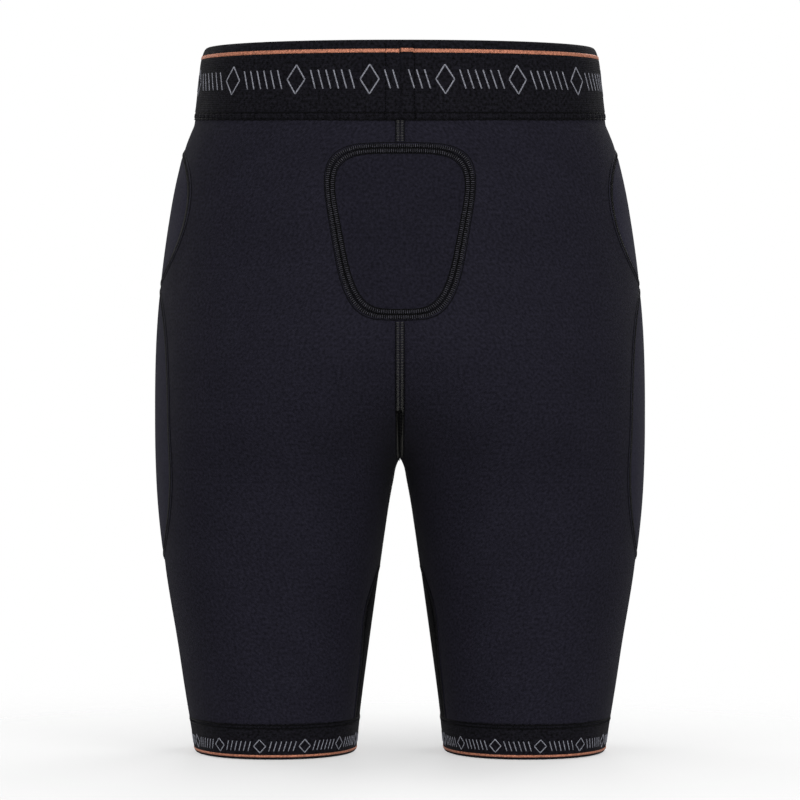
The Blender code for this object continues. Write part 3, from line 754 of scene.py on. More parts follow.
def pouch_half_width(height):
    widen = 1.0 - math.exp(-max(0.0, height - CROTCH) / 0.065)
    narrow = 1.0 - 0.25 * (max(0.0, height - 0.30) / 0.125) ** 2
    return 0.052 * widen * narrow


def back_reach(height):
    return section(height).back_end - gusset_reach(height)


def front_start(height):
    level = section(height)
    if height <= CROTCH:
        return level.front_end + gusset_reach(height)
    return level.travel_at_front(pouch_half_width(height))


def panel_heights():
    """Row heights of the panels, drawn together where an edge or the surface turns quickly."""
    tucked = HEM_SEAM + np.array((-TUCK, -0.003, -0.001, -0.0003, 0.0004, 0.0014))
    below = np.arange(HEM_SEAM + 0.003, GUSSET_SHOULDER, ROW_STEP)
    arch = GUSSET_TOP - (GUSSET_TOP - GUSSET_SHOULDER) * np.linspace(1.0, 0.0, 15) ** 2
    between = np.linspace(GUSSET_TOP, CROTCH - 0.012, 21)[1:-1]
    into = CROTCH - 0.012 * np.linspace(1.0, 0.0, 9) ** 2
    out = CROTCH + 0.026 * np.linspace(0.0, 1.0, 19)[1:] ** 2
    above = np.arange(CROTCH + 0.029, WAIST_SEAM - 0.003, ROW_STEP)
    crease = WAIST_SEAM + np.array((-0.0026, -0.0014, -0.0006, 0.0, 0.0008, 0.0026, TUCK))
    return np.concatenate([tucked, below, arch, between, into, out, above, crease])


def edge_spaced(width, fine_start, fine_end):
    """Shares of a width from 0 to 1, close together where an edge is sewn."""
    fine = np.array((0.0, 0.0006, 0.0012, 0.0019, 0.0025, 0.003, 0.0034, 0.0039, 0.0045, 0.0055, 0.0075))
    start = fine if fine_start else np.array((0.0, 0.002))
    end = fine if fine_end else np.array((0.0, 0.002))
    number = max(2, round((width - start[-1] - end[-1]) / ROW_STEP))
    middle = np.linspace(start[-1], width - end[-1], number + 1)[1:-1]
    return np.concatenate([start, middle, width - end[::-1]]) / width


def seam_lift(distance):
    """A sewn edge: pressed down beside the coverstitch, and a little proud under it."""
    groove = GROOVE["depth"] * math.exp(-(((distance - GROOVE["place"]) / GROOVE["width"]) ** 2))
    return 0.00015 * math.exp(-((distance / 0.002) ** 4)) - groove


def tucked_in(height):
    """How deep the cloth lies at and beneath the waistband and the hem."""
    into_band = max(height - WAIST_SEAM, HEM_SEAM - height)
    return TUCK_DEPTH * smooth_step((into_band + 0.0002) / 0.0016)


def ripple(travel, height):
    """Faint unevenness of worn, stretched cloth."""
    slow = math.sin(61.0 * travel + 23.0 * height) * math.sin(47.0 * height - 19.0 * travel)
    drag = math.sin(150.0 * height + 95.0 * travel) * math.exp(-(((height - CROTCH) / 0.05) ** 2))
    return SLOW_RIPPLE * slow + DRAG_RIPPLE * drag


def cloth_sheet(name, heights, shares, travel_at, lift_at, look):
    """A panel of the left half with its faces outwards; travel_at(share, height) places a column."""
    points, spots = [], []
    for height in heights:
        for share in shares:
            level = height + waist_shift(travel_at(share, height), height)
            travel = travel_at(share, level)
            points.append(surface(travel, level, lift_at(share, height)))
            spots.append((travel, level))
    faces = grid_faces(len(heights), len(shares))
    piece = make_piece(name, points, faces, look, spots)
    return thicken(piece, FABRIC)


def spread(steady, reach, share):
    """Columns keep to slow curves and take up the jump in width at the crotch near the edge."""
    return share * steady + share**4 * (reach - steady)


BACK_COLUMNS = ((0.0, 0.185), (0.19, 0.25), (0.25, 0.25), (0.424, 0.196))
FRONT_COLUMNS = ((0.0, 0.165), (0.19, 0.18), (0.25, 0.17), (0.424, 0.15))
SIDE_POCKETS_FROM = 0.09  # the side patches lie outside this x


def inside_patches(travel, height):
    """How far a place lies inside the nearest patch's outline; negative outside all of them."""
    x, y = section(height).at(travel)
    spots = [(y - SIDE_LINE_Y, HIP_POCKET), (y - SIDE_LINE_Y, THIGH_POCKET)]
    if x < SIDE_POCKETS_FROM:
        spots = [(x, TAILBONE_POCKET)] if y > SIDE_LINE_Y else []
    return max((depth_inside(*spot, height) for spot in spots), default=-1.0)


def depth_inside(across, pocket, height):
    """Roughly how far a point lies inside a pocket outline."""
    rise = (height - pocket["centre"]) / pocket["half_height"]
    wide = pocket["half_width"] * (1.0 + pocket.get("flare", 0.0) * max(-1.0, min(1.0, rise)))
    power = pocket["power"]
    reach = (abs(rise) ** power + abs(across / wide) ** power) ** (1.0 / power)
    return (1.0 - reach) * min(pocket["half_width"], pocket["half_height"])


def body_cloth():
    """The left front and back in one sheet, from the pouch and gusset round to the centre back."""
    back = edge_spaced(0.22, False, True)
    front = edge_spaced(0.17, False, True)
    shares = np.concatenate([-front[:0:-1], back])

    def travel_at(share, height):
        if share < 0.0:
            return -spread(along(FRONT_COLUMNS, height), -front_start(height), -share)
        return spread(along(BACK_COLUMNS, height), back_reach(height), share)

    def lift_at(share, height):
        travel = travel_at(share, height)
        to_edge = min(back_reach(height) - travel, travel - front_start(height))
        inside = inside_patches(travel, height)
        held = smooth_step(to_edge / 0.01) * smooth_step(-inside / 0.008)
        sunk = RECESS * smooth_step((inside - 0.002) / 0.004) + tucked_in(height)
        return seam_lift(to_edge) + ripple(travel, height) * held - sunk

    return cloth_sheet(
        "body_cloth_left", panel_heights(), shares, travel_at, lift_at, BODY_KNIT
    )


def front_pouch():
    heights = panel_heights()
    heights = heights[heights >= CROTCH]
    shares = edge_spaced(0.045, True, True)

    def travel_at(share, height):
        start = section(height).front_end
        return start + share * (front_start(height) - start) if height > CROTCH else start

    def lift_at(share, height):
        width = front_start(height) - section(height).front_end if height > CROTCH else 0.0
        return seam_lift(share * width) + seam_lift((1.0 - share) * width) - tucked_in(height)

    return cloth_sheet(
        "front_pouch_left", heights, shares, travel_at, lift_at, BODY_KNIT
    )


def inner_gusset():
    heights = panel_heights()
    heights = heights[heights <= GUSSET_TOP]
    shares = edge_spaced(0.040, True, True)

    def travel_at(share, height):
        return section(height).back_end + (2.0 * share - 1.0) * gusset_reach(height)

    def lift_at(share, height):
        width = 2.0 * gusset_reach(height)
        return seam_lift(share * width) + seam_lift((1.0 - share) * width) - tucked_in(height)

    return cloth_sheet(
        "inner_thigh_gusset_left", heights, shares, travel_at, lift_at, GUSSET_MESH
    )


def path_up(travel_at, bottom, top, step=0.001):
    """A path through travel_at(height), from bottom to top."""
    return np.array([(travel_at(height), height) for height in np.arange(bottom, top, step)])


def panel_edge_path(travel_at, bottom):
    """The path of a panel's edge up to the waistband, shifted there as the panel's rows are."""
    path = path_up(travel_at, bottom, WAIST_SEAM + 0.0002)
    levels = [height + waist_shift(travel, height) for travel, height in path]
    return np.array([(travel_at(level), level) for level in levels])


def add_body():
    nodes = [
        f"{face}_panel_{{side}}_{part}"
        for face in ("front", "back")
        for part in ("upper", "flex", "lower")
    ]
    both_sides(body_cloth(), "bend", nodes)
    both_sides(front_pouch(), "bend", ["front_pouch_{side}"])
    both_sides(inner_gusset(), "bend", ["inner_thigh_gusset_{side}"])


def add_body_seams():
    """Flat seams along the pouch and round the gusset."""
    step = 0.001
    up = path_up(back_reach, HEM_SEAM, GUSSET_TOP - step, step)
    down = path_up(
        lambda height: front_start(height) + section(height).length, HEM_SEAM, GUSSET_TOP, step
    )
    paths = {
        "gusset_seam_left": np.concatenate([up, down[::-1]]),
        "inseam_left": path_up(back_reach, GUSSET_TOP + 0.0004, CROTCH - 0.002),
        "pouch_seam_left": panel_edge_path(front_start, CROTCH + 0.004),
    }
    for stem, path in paths.items():
        for piece in flat_seam(stem, surface, path, BODY_SEAM_LINES, SEAM_LIFT, SEAM_THREAD):
            both_sides(piece, "bend")


def add_centre_seams():
    """Flat seams down the centre back and centre front, with a tape behind each."""
    bottom, top = (
        TAILBONE_POCKET["centre"] + end * (TAILBONE_POCKET["half_height"] + 0.0008) for end in (-1.0, 1.0)
    )
    back_top = WAIST_EDGE - WAIST_DIP + 0.0005
    runs = (
        ("centre_back_seam_lower", back_point, CROTCH + 0.0008, bottom, "centre_back_coverstitch_lower"),
        ("centre_back_seam_upper", back_point, top, back_top, "centre_back_coverstitch_upper"),
        ("centre_front_seam", front_point, CROTCH + 0.0008, WAIST_EDGE + 0.0005, None),
    )
    tape, tape_lift, tape_half_width, tape_half_height = Strands(), -FABRIC - 0.0007, 0.0030, 0.0003
    for stem, place, start, end, node in runs:
        path = path_up(lambda height: 0.0, start, end, 0.0005)
        tape.running(place, path, tape_lift, tape_half_width, tape_half_height)
        look = GREY_THREAD if place is back_point else SEAM_THREAD
        rows, rungs = flat_seam(stem, place, path, CENTRE_SEAM_LINES, SEAM_LIFT, look)
        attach(rows, "pelvis")
        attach(rungs, "pelvis")
        if node:
            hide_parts(node)
    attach(tape.piece("centre_seam_tape", BLACK_THREAD_AND_SHADE, "thread"), "pelvis")


# ---------------------------------------------------------------- padded patches


def outline(pocket, inset, count):
    """Evenly spaced (across, height) points of a pocket outline drawn in by an amount."""
    turn = np.linspace(0.0, 2.0 * math.pi, 1441)
    power = 2.0 / pocket["power"]
    rise = np.sign(np.sin(turn)) * np.abs(np.sin(turn)) ** power
    reach = np.sign(np.cos(turn)) * np.abs(np.cos(turn)) ** power
    flare = 1.0 + pocket.get("flare", 0.0) * rise
    across = (pocket["half_width"] * flare - inset) * reach
    height = pocket["centre"] + (pocket["half_height"] - inset) * rise
    run = np.concatenate([[0.0], np.cumsum(np.hypot(np.diff(across), np.diff(height)))])
    even = np.linspace(0.0, run[-1], count + 1)[:-1]
    return np.stack([np.interp(even, run, across), np.interp(even, run, height)], axis=1)


def ring_layout(pocket, insets, count, step):
    """Rings from a pocket's edge to its middle, each point with its distance from the edge."""
    rings = [np.column_stack([outline(pocket, inset, count), np.full(count, inset)]) for inset in insets]
    middle = np.array((0.0, pocket["centre"]))
    depth = min(pocket["half_width"], pocket["half_height"])
    number = round((depth - insets[-1]) / step)
    last = rings[-1]
    for index in range(1, number):
        share = 1.0 - index / number
        ring = last.copy()
        ring[:, :2] = middle + (last[:, :2] - middle) * share
        ring[:, 2] = depth - (depth - insets[-1]) * share
        rings.append(ring)
    return np.concatenate(rings + [np.array([[*middle, depth]])])


def ring_faces(total, count, first=0):
    """Quads between rings of count points, and triangles round the point in the middle."""
    rings = (total - 1) // count
    faces = grid_faces(rings, count, close_columns=True, first=first)
    start, middle = first + (rings - 1) * count, first + total - 1
    faces.extend((start + step, start + (step + 1) % count, middle) for step in range(count))
    return faces


def patch_lift(distance, rows):
    """Height of a patch over the body: a turned edge, and a dimple along each row of stitches."""
    turned = math.sqrt(max(0.0, 1.0 - (1.0 - min(1.0, distance / 0.0009)) ** 2))
    dimples = sum(math.exp(-(((distance - row) / 0.0006) ** 2)) for row in rows)
    return PATCH * turned - PATCH_SINK - 0.0004 * dimples


def swell(piece, held, cap, pressure):
    """Lets a sheet billow under a soft pad's push while its sewn border is held.

    The sheet is closed with a still back, filled with pressure and simulated as cloth; each
    point's movement fades out as it nears the cap.
    """
    rest = np.array([tuple(corner.co) for corner in piece.data.vertices])
    pillow = piece.copy()
    pillow.data = piece.data.copy()
    bpy.context.scene.collection.objects.link(pillow)
    thicken(pillow, 0.006)
    border = pillow.vertex_groups.new(name="held")
    fixed = [index for index in range(len(pillow.data.vertices)) if index >= len(rest) or held[index]]
    border.add(fixed, 1.0, "REPLACE")
    cloth = pillow.modifiers.new("cloth", "CLOTH")
    cloth.settings.quality = 5
    cloth.settings.vertex_group_mass = "held"
    cloth.settings.use_pressure = True
    cloth.settings.uniform_pressure_force = pressure
    cloth.settings.effector_weights.gravity = 0.0
    for step in range(1, 21):
        bpy.context.scene.frame_set(step)
    graph = bpy.context.evaluated_depsgraph_get()
    swollen = bpy.data.meshes.new_from_object(pillow.evaluated_get(graph))
    moved = np.array([tuple(corner.co) for corner in swollen.vertices])[: len(rest)] - rest
    bpy.data.objects.remove(pillow, do_unlink=True)
    bpy.context.scene.frame_set(1)
    reach = np.linalg.norm(moved, axis=1, keepdims=True)
    moved *= cap * np.tanh(reach / cap) / np.maximum(reach, 1e-9)
    piece.data.vertices.foreach_set("co", (rest + moved).astype(np.float32).ravel())
    piece.data.update()


SIDE_PATCH_ROWS = (0.0044,)  # distances of the stitch rows from the patch's edge
TAILBONE_PATCH_ROWS = (0.0037, 0.0071)
# Half the width and half the height of the black strand that paints the shadow along a patch's edge
PATCH_EDGE_SHADOW_STRAND = (0.00036, 0.0003)
PATCH_ROW_THREAD = (0.00032, 0.0002)
SIDE_PATCH_CAP = 0.0015  # the most a patch's cloth may rise under its pad's push
TAILBONE_PATCH_CAP = 0.0012
PATCH_PRESSURE = 4.0
PATCH_MESH = 0.0028
TICK_PITCH = 0.0014
TICK_RADIUS = 0.00027
TICK_MARGIN = 0.0002
BORDER_INSETS = (
    0.0, 0.0002, 0.0005, 0.0009, 0.0013, 0.0018, 0.0023, 0.0028, 0.0033, 0.0038,
    0.0043, 0.0048, 0.0053, 0.0058, 0.0064, 0.0072, 0.0085,
)


def padded_patch(name, place, pocket, rows, look, cap):
    """A patch sewn on along its border and puffed up by the pad behind it."""
    count = round(math.pi * (pocket["half_width"] + pocket["half_height"]) / PATCH_MESH)
    layout = ring_layout(pocket, BORDER_INSETS, count, PATCH_MESH)
    points = [place(across, height, patch_lift(inset, rows)) for across, height, inset in layout]
    piece = make_piece(name, points, ring_faces(len(points), count), look, layout[:, :2])
    swell(piece, layout[:, 2] < rows[-1] + 0.0008, cap, PATCH_PRESSURE)
    return thicken(piece, PATCH * 0.9)


def patch_seam(stem, place, pocket, rows, look):
    """A patch's seam: a black strand along the edge that paints the shadow of the turned edge, dark rows,
    and short threads on a black strip that darkens the band between them.
    """
    def closed(inset):
        path = outline(pocket, inset, 1200)
        return np.concatenate([path, path[:1]])

    lines, rungs = Strands(), Strands()
    # Painted shadow: this black strand along the patch's edge stands in for the shade of its turned edge.
    lines.running(place, closed(0.0001), 0.00008, *PATCH_EDGE_SHADOW_STRAND)
    for row in rows:
        lines.running(place, closed(row), patch_lift(row, rows) + 0.0001, *PATCH_ROW_THREAD)
    face = PATCH - PATCH_SINK
    for low, high in zip((0.0004, *rows), rows):
        middle, half_span = 0.5 * (low + high), 0.5 * (high - low) - TICK_MARGIN
        # A black strip under the short threads darkens the band between the rows.
        lines.running(place, closed(middle), face - 0.00005, half_span, 0.0001)
        rungs.rungs(place, closed(middle), half_span, face - 0.0001, TICK_PITCH, TICK_RADIUS)
    side = "_left" if stem.endswith("_left") else ""
    stem = stem.removesuffix(side)
    return (
        lines.piece(stem + "_rows" + side, BLACK_THREAD_AND_SHADE, "thread"),
        rungs.piece(stem + "_rungs" + side, look, "thread"),
    )


def add_patches():
    cap = SIDE_PATCH_CAP
    for stem, pocket in (("hip_patch", HIP_POCKET), ("thigh_patch", THIGH_POCKET)):
        rows = SIDE_PATCH_ROWS
        patch = padded_patch(stem + "_left", side_point, pocket, rows, SIDE_KNIT_PAINTED_SHEEN, cap)
        both_sides(patch, "bend", [stem + "_{side}"])
        for piece in patch_seam(stem + "_seam_left", side_point, pocket, rows, SEAM_THREAD):
            both_sides(piece, "bend")
    rows = TAILBONE_PATCH_ROWS
    patch = padded_patch(
        "tailbone_patch_cloth", back_point, TAILBONE_POCKET, rows,
        TAILBONE_KNIT, TAILBONE_PATCH_CAP,
    )
    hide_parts("tailbone_patch")
    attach(patch, "pelvis")
    lines, rungs = patch_seam("tailbone_seam", back_point, TAILBONE_POCKET, rows, TICK_THREAD)
    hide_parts("tailbone_coverstitch")
    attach(lines, "pelvis")
    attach(rungs, "pelvis")


# ---------------------------------------------------------------- bands


def strip_band(name, place, columns, profile_at, look):
    """A band of one cross-section, running from the first column to the last and capped there."""
    points, spots = [], []
    for run in columns:
        profile = profile_at(run)
        length = 0.0
        for index, (height, lift) in enumerate(profile):
            if index:
                length += math.hypot(height - profile[index - 1][0], lift - profile[index - 1][1])
            points.append(place(run, height, lift))
            spots.append((run, length))
    size = len(profile_at(columns[0]))
    faces = grid_faces(len(columns), size, close_columns=True)
    faces.append(tuple(range(size)))
    faces.append(tuple(reversed(range(size * (len(columns) - 1), size * len(columns)))))
    return make_piece(name, points, faces, look, spots)


def waist_columns():
    """Places round the waist: every few millimetres, and close together at the centre back."""
    whole = 2.0 * WAIST_HALF
    near = np.array((0.0, 0.0003, 0.0006, 0.0009, 0.0014, 0.002, 0.003, 0.005, 0.007))
    fold = JOIN_FOLD + np.array((-0.0016, -0.0008, -0.0004, 0.0, 0.0004, 0.0008, 0.0016))
    start = np.concatenate([near, fold])
    middle = np.linspace(start[-1], whole - start[-1], round(whole / 0.0016))[1:-1]
    return np.concatenate([start, middle, whole - start[::-1]])


BAND_TOP = HEIGHT + 0.0010
CURL_START = BAND_TOP - 0.012
CURL = 0.0022
PUCKER = 0.00034
PUCKER_PITCH = 0.0062
WAIST_STRIPE = {"height": HEIGHT - 0.0058, "half_width": 0.00140, "half_height": 0.00030}
HEM_STRIPE = {"height": 0.0024, "half_width": 0.00080, "half_height": 0.00028}
BAND_RUNG_PITCH = {"waist": 0.0017, "hem": 0.0013}
JOIN_FOLD = 0.0095  # the waistband's ends are folded back this far from the centre back
WAIST_ROWS = (0.0010, 0.0048)  # stitch rows above the waistband's lower edge
LAP = 0.0080  # height over which a band lies on top of the cloth it is sewn to
HEM_EDGE = HEM_SEAM + 0.0006
HEM_ROWS = (0.0012, 0.0034)  # stitch rows below the hem band's upper edge
WAIST_MOTIF = {
    "middle": 0.4525, "count": 15, "phase": 0.0199, "bars": 6, "bars_width": 0.0300,
    "bar_height": 0.0112, "mark": (0.0062, 0.0087), "stroke": 0.00050,
}
HEM_MOTIF = {
    "middle": 0.0090, "count": 13, "phase": 0.0120, "bars": 6, "bars_width": 0.0186,
    "bar_height": 0.0065, "mark": (0.0041, 0.0044), "stroke": 0.00036,
}


def dimple(distance, width=0.0006):
    return math.exp(-((distance / width) ** 2))


def waist_curl(height):
    """The waistband's top edge leans in a little more steeply than the band below it."""
    return CURL * max(0.0, (height - CURL_START) / (BAND_TOP - CURL_START)) ** 2


def pucker(run, height):
    """The elastic's lower edge is gathered into small waves by its stitches."""
    fade = smooth_step((WAIST_EDGE + 0.010 - height) / 0.009)
    return PUCKER * fade * math.sin(2.0 * math.pi * run / PUCKER_PITCH + 1.3 * math.sin(71.0 * run))


def waist_profile(run):
    """The waistband's cross-section, as heights and lifts, up the outside and down the inside."""
    from_join = min(run, 2.0 * WAIST_HALF - run)
    cleft = 0.0009 * dimple(from_join, 0.0007) + 0.0007 * dimple(from_join - JOIN_FOLD, 0.0005)
    face = BAND_LIFT - cleft
    outside = [(WAIST_EDGE + 0.0006, -0.0011), (WAIST_EDGE, -0.0004), (WAIST_EDGE + 0.0004, face)]
    rises = np.concatenate([np.arange(0.0007, 0.0060, 0.0003), (0.0066, 0.0075, 0.009)])
    for rise in rises:
        stitched = sum(dimple(rise - row, 0.0005) for row in WAIST_ROWS)
        outside.append((WAIST_EDGE + rise, face - 0.0005 * stitched))
    for height in np.linspace(WAIST_EDGE + 0.012, BAND_TOP - 0.0025, 16):
        outside.append((height, face))
    outside += [(BAND_TOP - 0.0012, face - 0.0001), (BAND_TOP - 0.0003, face - 0.0005)]
    inside = [(BAND_TOP, -0.0007), (BAND_TOP - 0.0003, -0.0012), (BAND_TOP - 0.0012, -BAND_DEPTH)]
    for height in np.linspace(BAND_TOP - 0.003, WAIST_EDGE + LAP + 0.0012, 12):
        inside.append((height, -BAND_DEPTH))
    inside += [(WAIST_EDGE + LAP, -BAND_DEPTH * 0.8), (WAIST_EDGE + LAP - 0.0004, -0.0011)]
    return [
        (height, lift - waist_curl(height) + pucker(run, height)) for height, lift in outside + inside
    ]


def add_waistband():
    whole = 2.0 * WAIST_HALF
    band = strip_band(
        "waistband_elastic", around_waist, waist_columns(), waist_profile, ELASTIC_WEAVE
    )
    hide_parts("waistband")
    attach(band, "pelvis")
    stripe = Strands()
    height = WAIST_STRIPE["height"]
    path = [
        (run, height + (0.0004 if run > whole - JOIN_FOLD else 0.0))
        for run in np.linspace(0.0004, whole - 0.0004, round(whole / 0.0025))
    ]
    stripe.running(
        around_waist, path, BAND_LIFT - waist_curl(height),
        WAIST_STRIPE["half_width"], WAIST_STRIPE["half_height"],
    )
    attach(stripe.piece("waist_copper_stripe", COPPER_YARN, "elastic"), "pelvis")
    middle = WAIST_EDGE + 0.5 * sum(WAIST_ROWS)
    path = np.array([(run, middle) for run in np.arange(0.0, whole, 0.002)])
    offset = 0.5 * (WAIST_ROWS[1] - WAIST_ROWS[0])
    rows, rungs = flat_seam(
        "waist_seam", around_waist, path, (-offset, offset), BAND_LIFT - 0.0002,
        SEAM_THREAD, BAND_RUNG_PITCH["waist"],
    )
    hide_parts("waist_coverstitch")
    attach(rows, "pelvis")
    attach(rungs, "pelvis")
    join = Strands()
    for run in (JOIN_FOLD, whole - JOIN_FOLD):
        path = path_up(lambda height: run, WAIST_EDGE + 0.001, HEIGHT - 0.0008)
        join.stitches(around_waist, path, BAND_LIFT - 0.0004)
    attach(join.piece("waist_join_stitches", BLACK_THREAD_AND_SHADE, "thread"), "pelvis")
    motif = band_motif(around_waist, whole, WAIST_MOTIF)
    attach(motif.piece("waist_motif", MOTIF_YARN, "elastic"), "pelvis")


def band_motif(place, whole, motif):
    """A generic woven border: runs of slanted bars with an open diamond between them."""
    strands = Strands()
    margin, proud = 0.0004, 0.00022
    pitch = whole / motif["count"]
    wide, high = motif["mark"]
    lean = 0.17 * motif["bar_height"]
    step = (motif["bars_width"] - 2.0 * lean) / (motif["bars"] - 1)

    def stroke(*ends):
        if all(margin < run < whole - margin for run, _ in ends):
            start, end = np.array(ends)
            path = [start * (1.0 - t) + end * t for t in np.linspace(0.0, 1.0, 6)]
            strands.running(place, path, BAND_LIFT, motif["stroke"], proud)

    for index in range(motif["count"]):
        centre = motif["phase"] + index * pitch
        tips = ((wide, 0.0), (0.0, high), (-wide, 0.0), (0.0, -high), (wide, 0.0))
        corners = [(centre + run, motif["middle"] + rise) for run, rise in tips]
        for ends in zip(corners[:-1], corners[1:]):
            stroke(*ends)
        for bar in range(motif["bars"]):
            run = (centre + 0.5 * pitch + (bar - 0.5 * (motif["bars"] - 1)) * step) % whole
            rise = 0.5 * motif["bar_height"]
            stroke((run - lean, motif["middle"] - rise), (run + lean, motif["middle"] + rise))
    return strands


def hem_profile():
    """The hem band's cross-section, as heights and lifts, up the outside and down the inside."""
    outside = [(0.0, -0.0007), (0.0003, -0.0002), (0.0012, BAND_LIFT - 0.0001)]
    outside += [(height, BAND_LIFT) for height in (0.003, 0.005, 0.008, 0.0105, 0.013, 0.0155)]
    for depth in (*np.arange(0.0060, 0.0004, -0.0003), 0.0004):
        stitched = sum(dimple(depth - row, 0.0005) for row in HEM_ROWS)
        outside.append((HEM_EDGE - depth, BAND_LIFT - 0.0004 * stitched))
    outside += [(HEM_EDGE, -0.0004), (HEM_EDGE - 0.0006, -0.0011)]
    inside = [(HEM_EDGE - 0.0066, -0.0011), (HEM_EDGE - 0.007, -BAND_DEPTH * 0.8)]
    inside += [(height, -BAND_DEPTH) for height in (0.0155, 0.0130, 0.0105, 0.007, 0.003, 0.0012)]
    return outside + inside + [(0.0003, -0.0012)]


def add_hem_bands():
    ends = np.array((0.0, 0.0006))
    middle = np.linspace(0.002, LEG_ROUND - 0.002, round(LEG_ROUND / 0.0024))
    columns = np.concatenate([ends, middle, LEG_ROUND - ends[::-1]])
    band = strip_band(
        "hem_elastic_left", around_leg, columns, lambda run: hem_profile(), ELASTIC_WEAVE
    )
    both_sides(band, "leg", ["hem_band_{side}"])
    stripe = Strands()
    runs = np.linspace(0.0, LEG_ROUND, round(LEG_ROUND / 0.0025))
    path = [(run, HEM_STRIPE["height"]) for run in runs]
    stripe.running(
        around_leg, path, BAND_LIFT, HEM_STRIPE["half_width"], HEM_STRIPE["half_height"]
    )
    both_sides(stripe.piece("hem_copper_stripe_left", COPPER_YARN, "elastic"), "leg")
    middle = HEM_EDGE - 0.5 * sum(HEM_ROWS)
    path = np.array([(run, middle) for run in np.arange(0.0, LEG_ROUND, 0.002)])
    offset = 0.5 * (HEM_ROWS[1] - HEM_ROWS[0])
    rows, rungs = flat_seam(
        "hem_seam_left", around_leg, path, (-offset, offset), BAND_LIFT - 0.0001,
        SEAM_THREAD, BAND_RUNG_PITCH["hem"],
    )
    both_sides(rows, "leg", ["hem_coverstitch_{side}"])
    both_sides(rungs, "leg")
    motif = band_motif(around_leg, LEG_ROUND, HEM_MOTIF)
    both_sides(motif.piece("hem_motif_left", MOTIF_YARN, "elastic"), "leg")


# ---------------------------------------------------------------- inside the waist


LABEL_PLACE = 0.067  # from the centre back towards the wearer's right
LABEL_HALF_WIDTH = 0.012


def inside_sheet(name, place, runs, heights, lift_at, look, thickness):
    points = [place(run, height, lift_at(run, height)) for height in heights for run in runs]
    spots = [(run, height) for height in heights for run in runs]
    piece = make_piece(name, points, grid_faces(len(heights), len(runs)), look, spots)
    return thicken(piece, thickness)


def add_inside_details():
    heights = np.linspace(WAIST_EDGE + LAP, HEIGHT - 0.0045, 24)
    tape = inside_sheet(
        "waistband_join_binding", around_waist, np.linspace(-0.011, 0.011, 23), heights,
        lambda run, height: -BAND_DEPTH - 0.0003 - waist_curl(height),
        ELASTIC_WEAVE, 0.0010,
    )
    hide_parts("waistband_join_tape")
    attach(tape, "pelvis")
    middle = 2.0 * WAIST_HALF - LABEL_PLACE
    bottom, top = WAIST_SEAM - 0.012, WAIST_SEAM + 0.018

    def curl(height):
        hang = (top - height) / (top - bottom)
        return -BAND_DEPTH - 0.0008 - 0.0022 * hang**2 - 0.0004 * math.sin(9.0 * hang) * hang

    label = inside_sheet(
        "care_label_blank", around_waist,
        np.linspace(middle - LABEL_HALF_WIDTH, middle + LABEL_HALF_WIDTH, 13),
        np.linspace(bottom, top, 25), lambda run, height: curl(height),
        LABEL_SATIN, 0.0004,
    )
    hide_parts("care_label")
    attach(label, "pelvis")


# ---------------------------------------------------------------- pads and pocket linings


HIP_LINING = {"bottom": 0.3195, "top": 0.402, "half_width": 0.0485}
THIGH_LINING = {"bottom": 0.1345, "top": 0.302, "half_width": 0.062, "half_height": 0.0885}
TAILBONE_LINING = {"bottom": 0.2925, "top": 0.400, "half_width": 0.0415}


def waist_carried(level_point, drop, tilt_x, tilt_y):
    x, y, z = level_point
    return (x + tilt_x * drop, y + tilt_y * drop, z - drop)


def hip_pad_face(depth, height, lift):
    """The hip pad's face: the waist outline carried down along the pad's way out."""
    waist = section(WAIST_SEAM)
    point = surface(waist.travel_at_depth(depth), WAIST_SEAM, lift - PAD_CLEARANCE)
    return waist_carried(point, WAIST_SEAM - height, HIP_PAD_TILT, 0.0)


def tailbone_pad_face(across, height, lift):
    waist = section(WAIST_SEAM)
    clearance = PAD_CLEARANCE + TAPE_CLEARANCE
    x, y, z = surface(waist.travel_at_back(abs(across)), WAIST_SEAM, lift - clearance)
    point = (-math.copysign(x, across), y, z)
    return waist_carried(point, WAIST_SEAM - height, 0.0, TAILBONE_PAD_TILT)


def thigh_pad_face(depth, height, lift):
    return side_point(depth, height, lift - FABRIC - 0.0014)


def pad_groove(across, height, shape):
    """Depth of the flex channels and breathing holes moulded in a pad's outer face."""
    cell = 0.0145
    along_cell, up_cell = across / cell, (height - shape["centre"]) / cell
    to_line = min(abs(along_cell - round(along_cell)), abs(up_cell - round(up_cell))) * cell
    channel = 0.0013 * math.exp(-((to_line / 0.0010) ** 2))
    hole = math.hypot(along_cell - math.floor(along_cell) - 0.5, up_cell - math.floor(up_cell) - 0.5)
    return channel + 0.0022 * math.exp(-((hole * cell / 0.0016) ** 4))


def foam_pad(name, face, shape):
    """A moulded pad: a slab with a full rounded edge, channels and holes on both faces."""
    radius = FOAM / 2.0
    insets = (0.0, 0.0003, 0.0008, 0.0015, 0.0024, 0.0034, 0.0044)
    count = round(4.0 * (shape["half_width"] + shape["half_height"]) / 0.0013)
    layout = ring_layout(shape, insets, count, 0.0011)
    points = []
    for outward in (1.0, -1.0):
        for across, height, inset in layout:
            rounding = radius * math.sqrt(max(0.0, 1.0 - (1.0 - min(1.0, inset / radius)) ** 2))
            fade = smooth_step((inset - 0.003) / 0.003)
            dig = pad_groove(across, height, shape) * fade * (1.0 if outward > 0.0 else 0.5)
            points.append(face(across, height, -radius + outward * (rounding - dig)))
    total = len(layout)
    front = ring_faces(total, count)
    faces = [tuple(reversed(corners)) for corners in ring_faces(total, count, first=total)]
    weld = {total + index: index for index in range(count)}
    faces = [tuple(weld.get(corner, corner) for corner in corners) for corners in faces]
    piece = make_piece(name, points, front + faces, FOAM_SKIN)
    drop_loose_points(piece)
    return piece


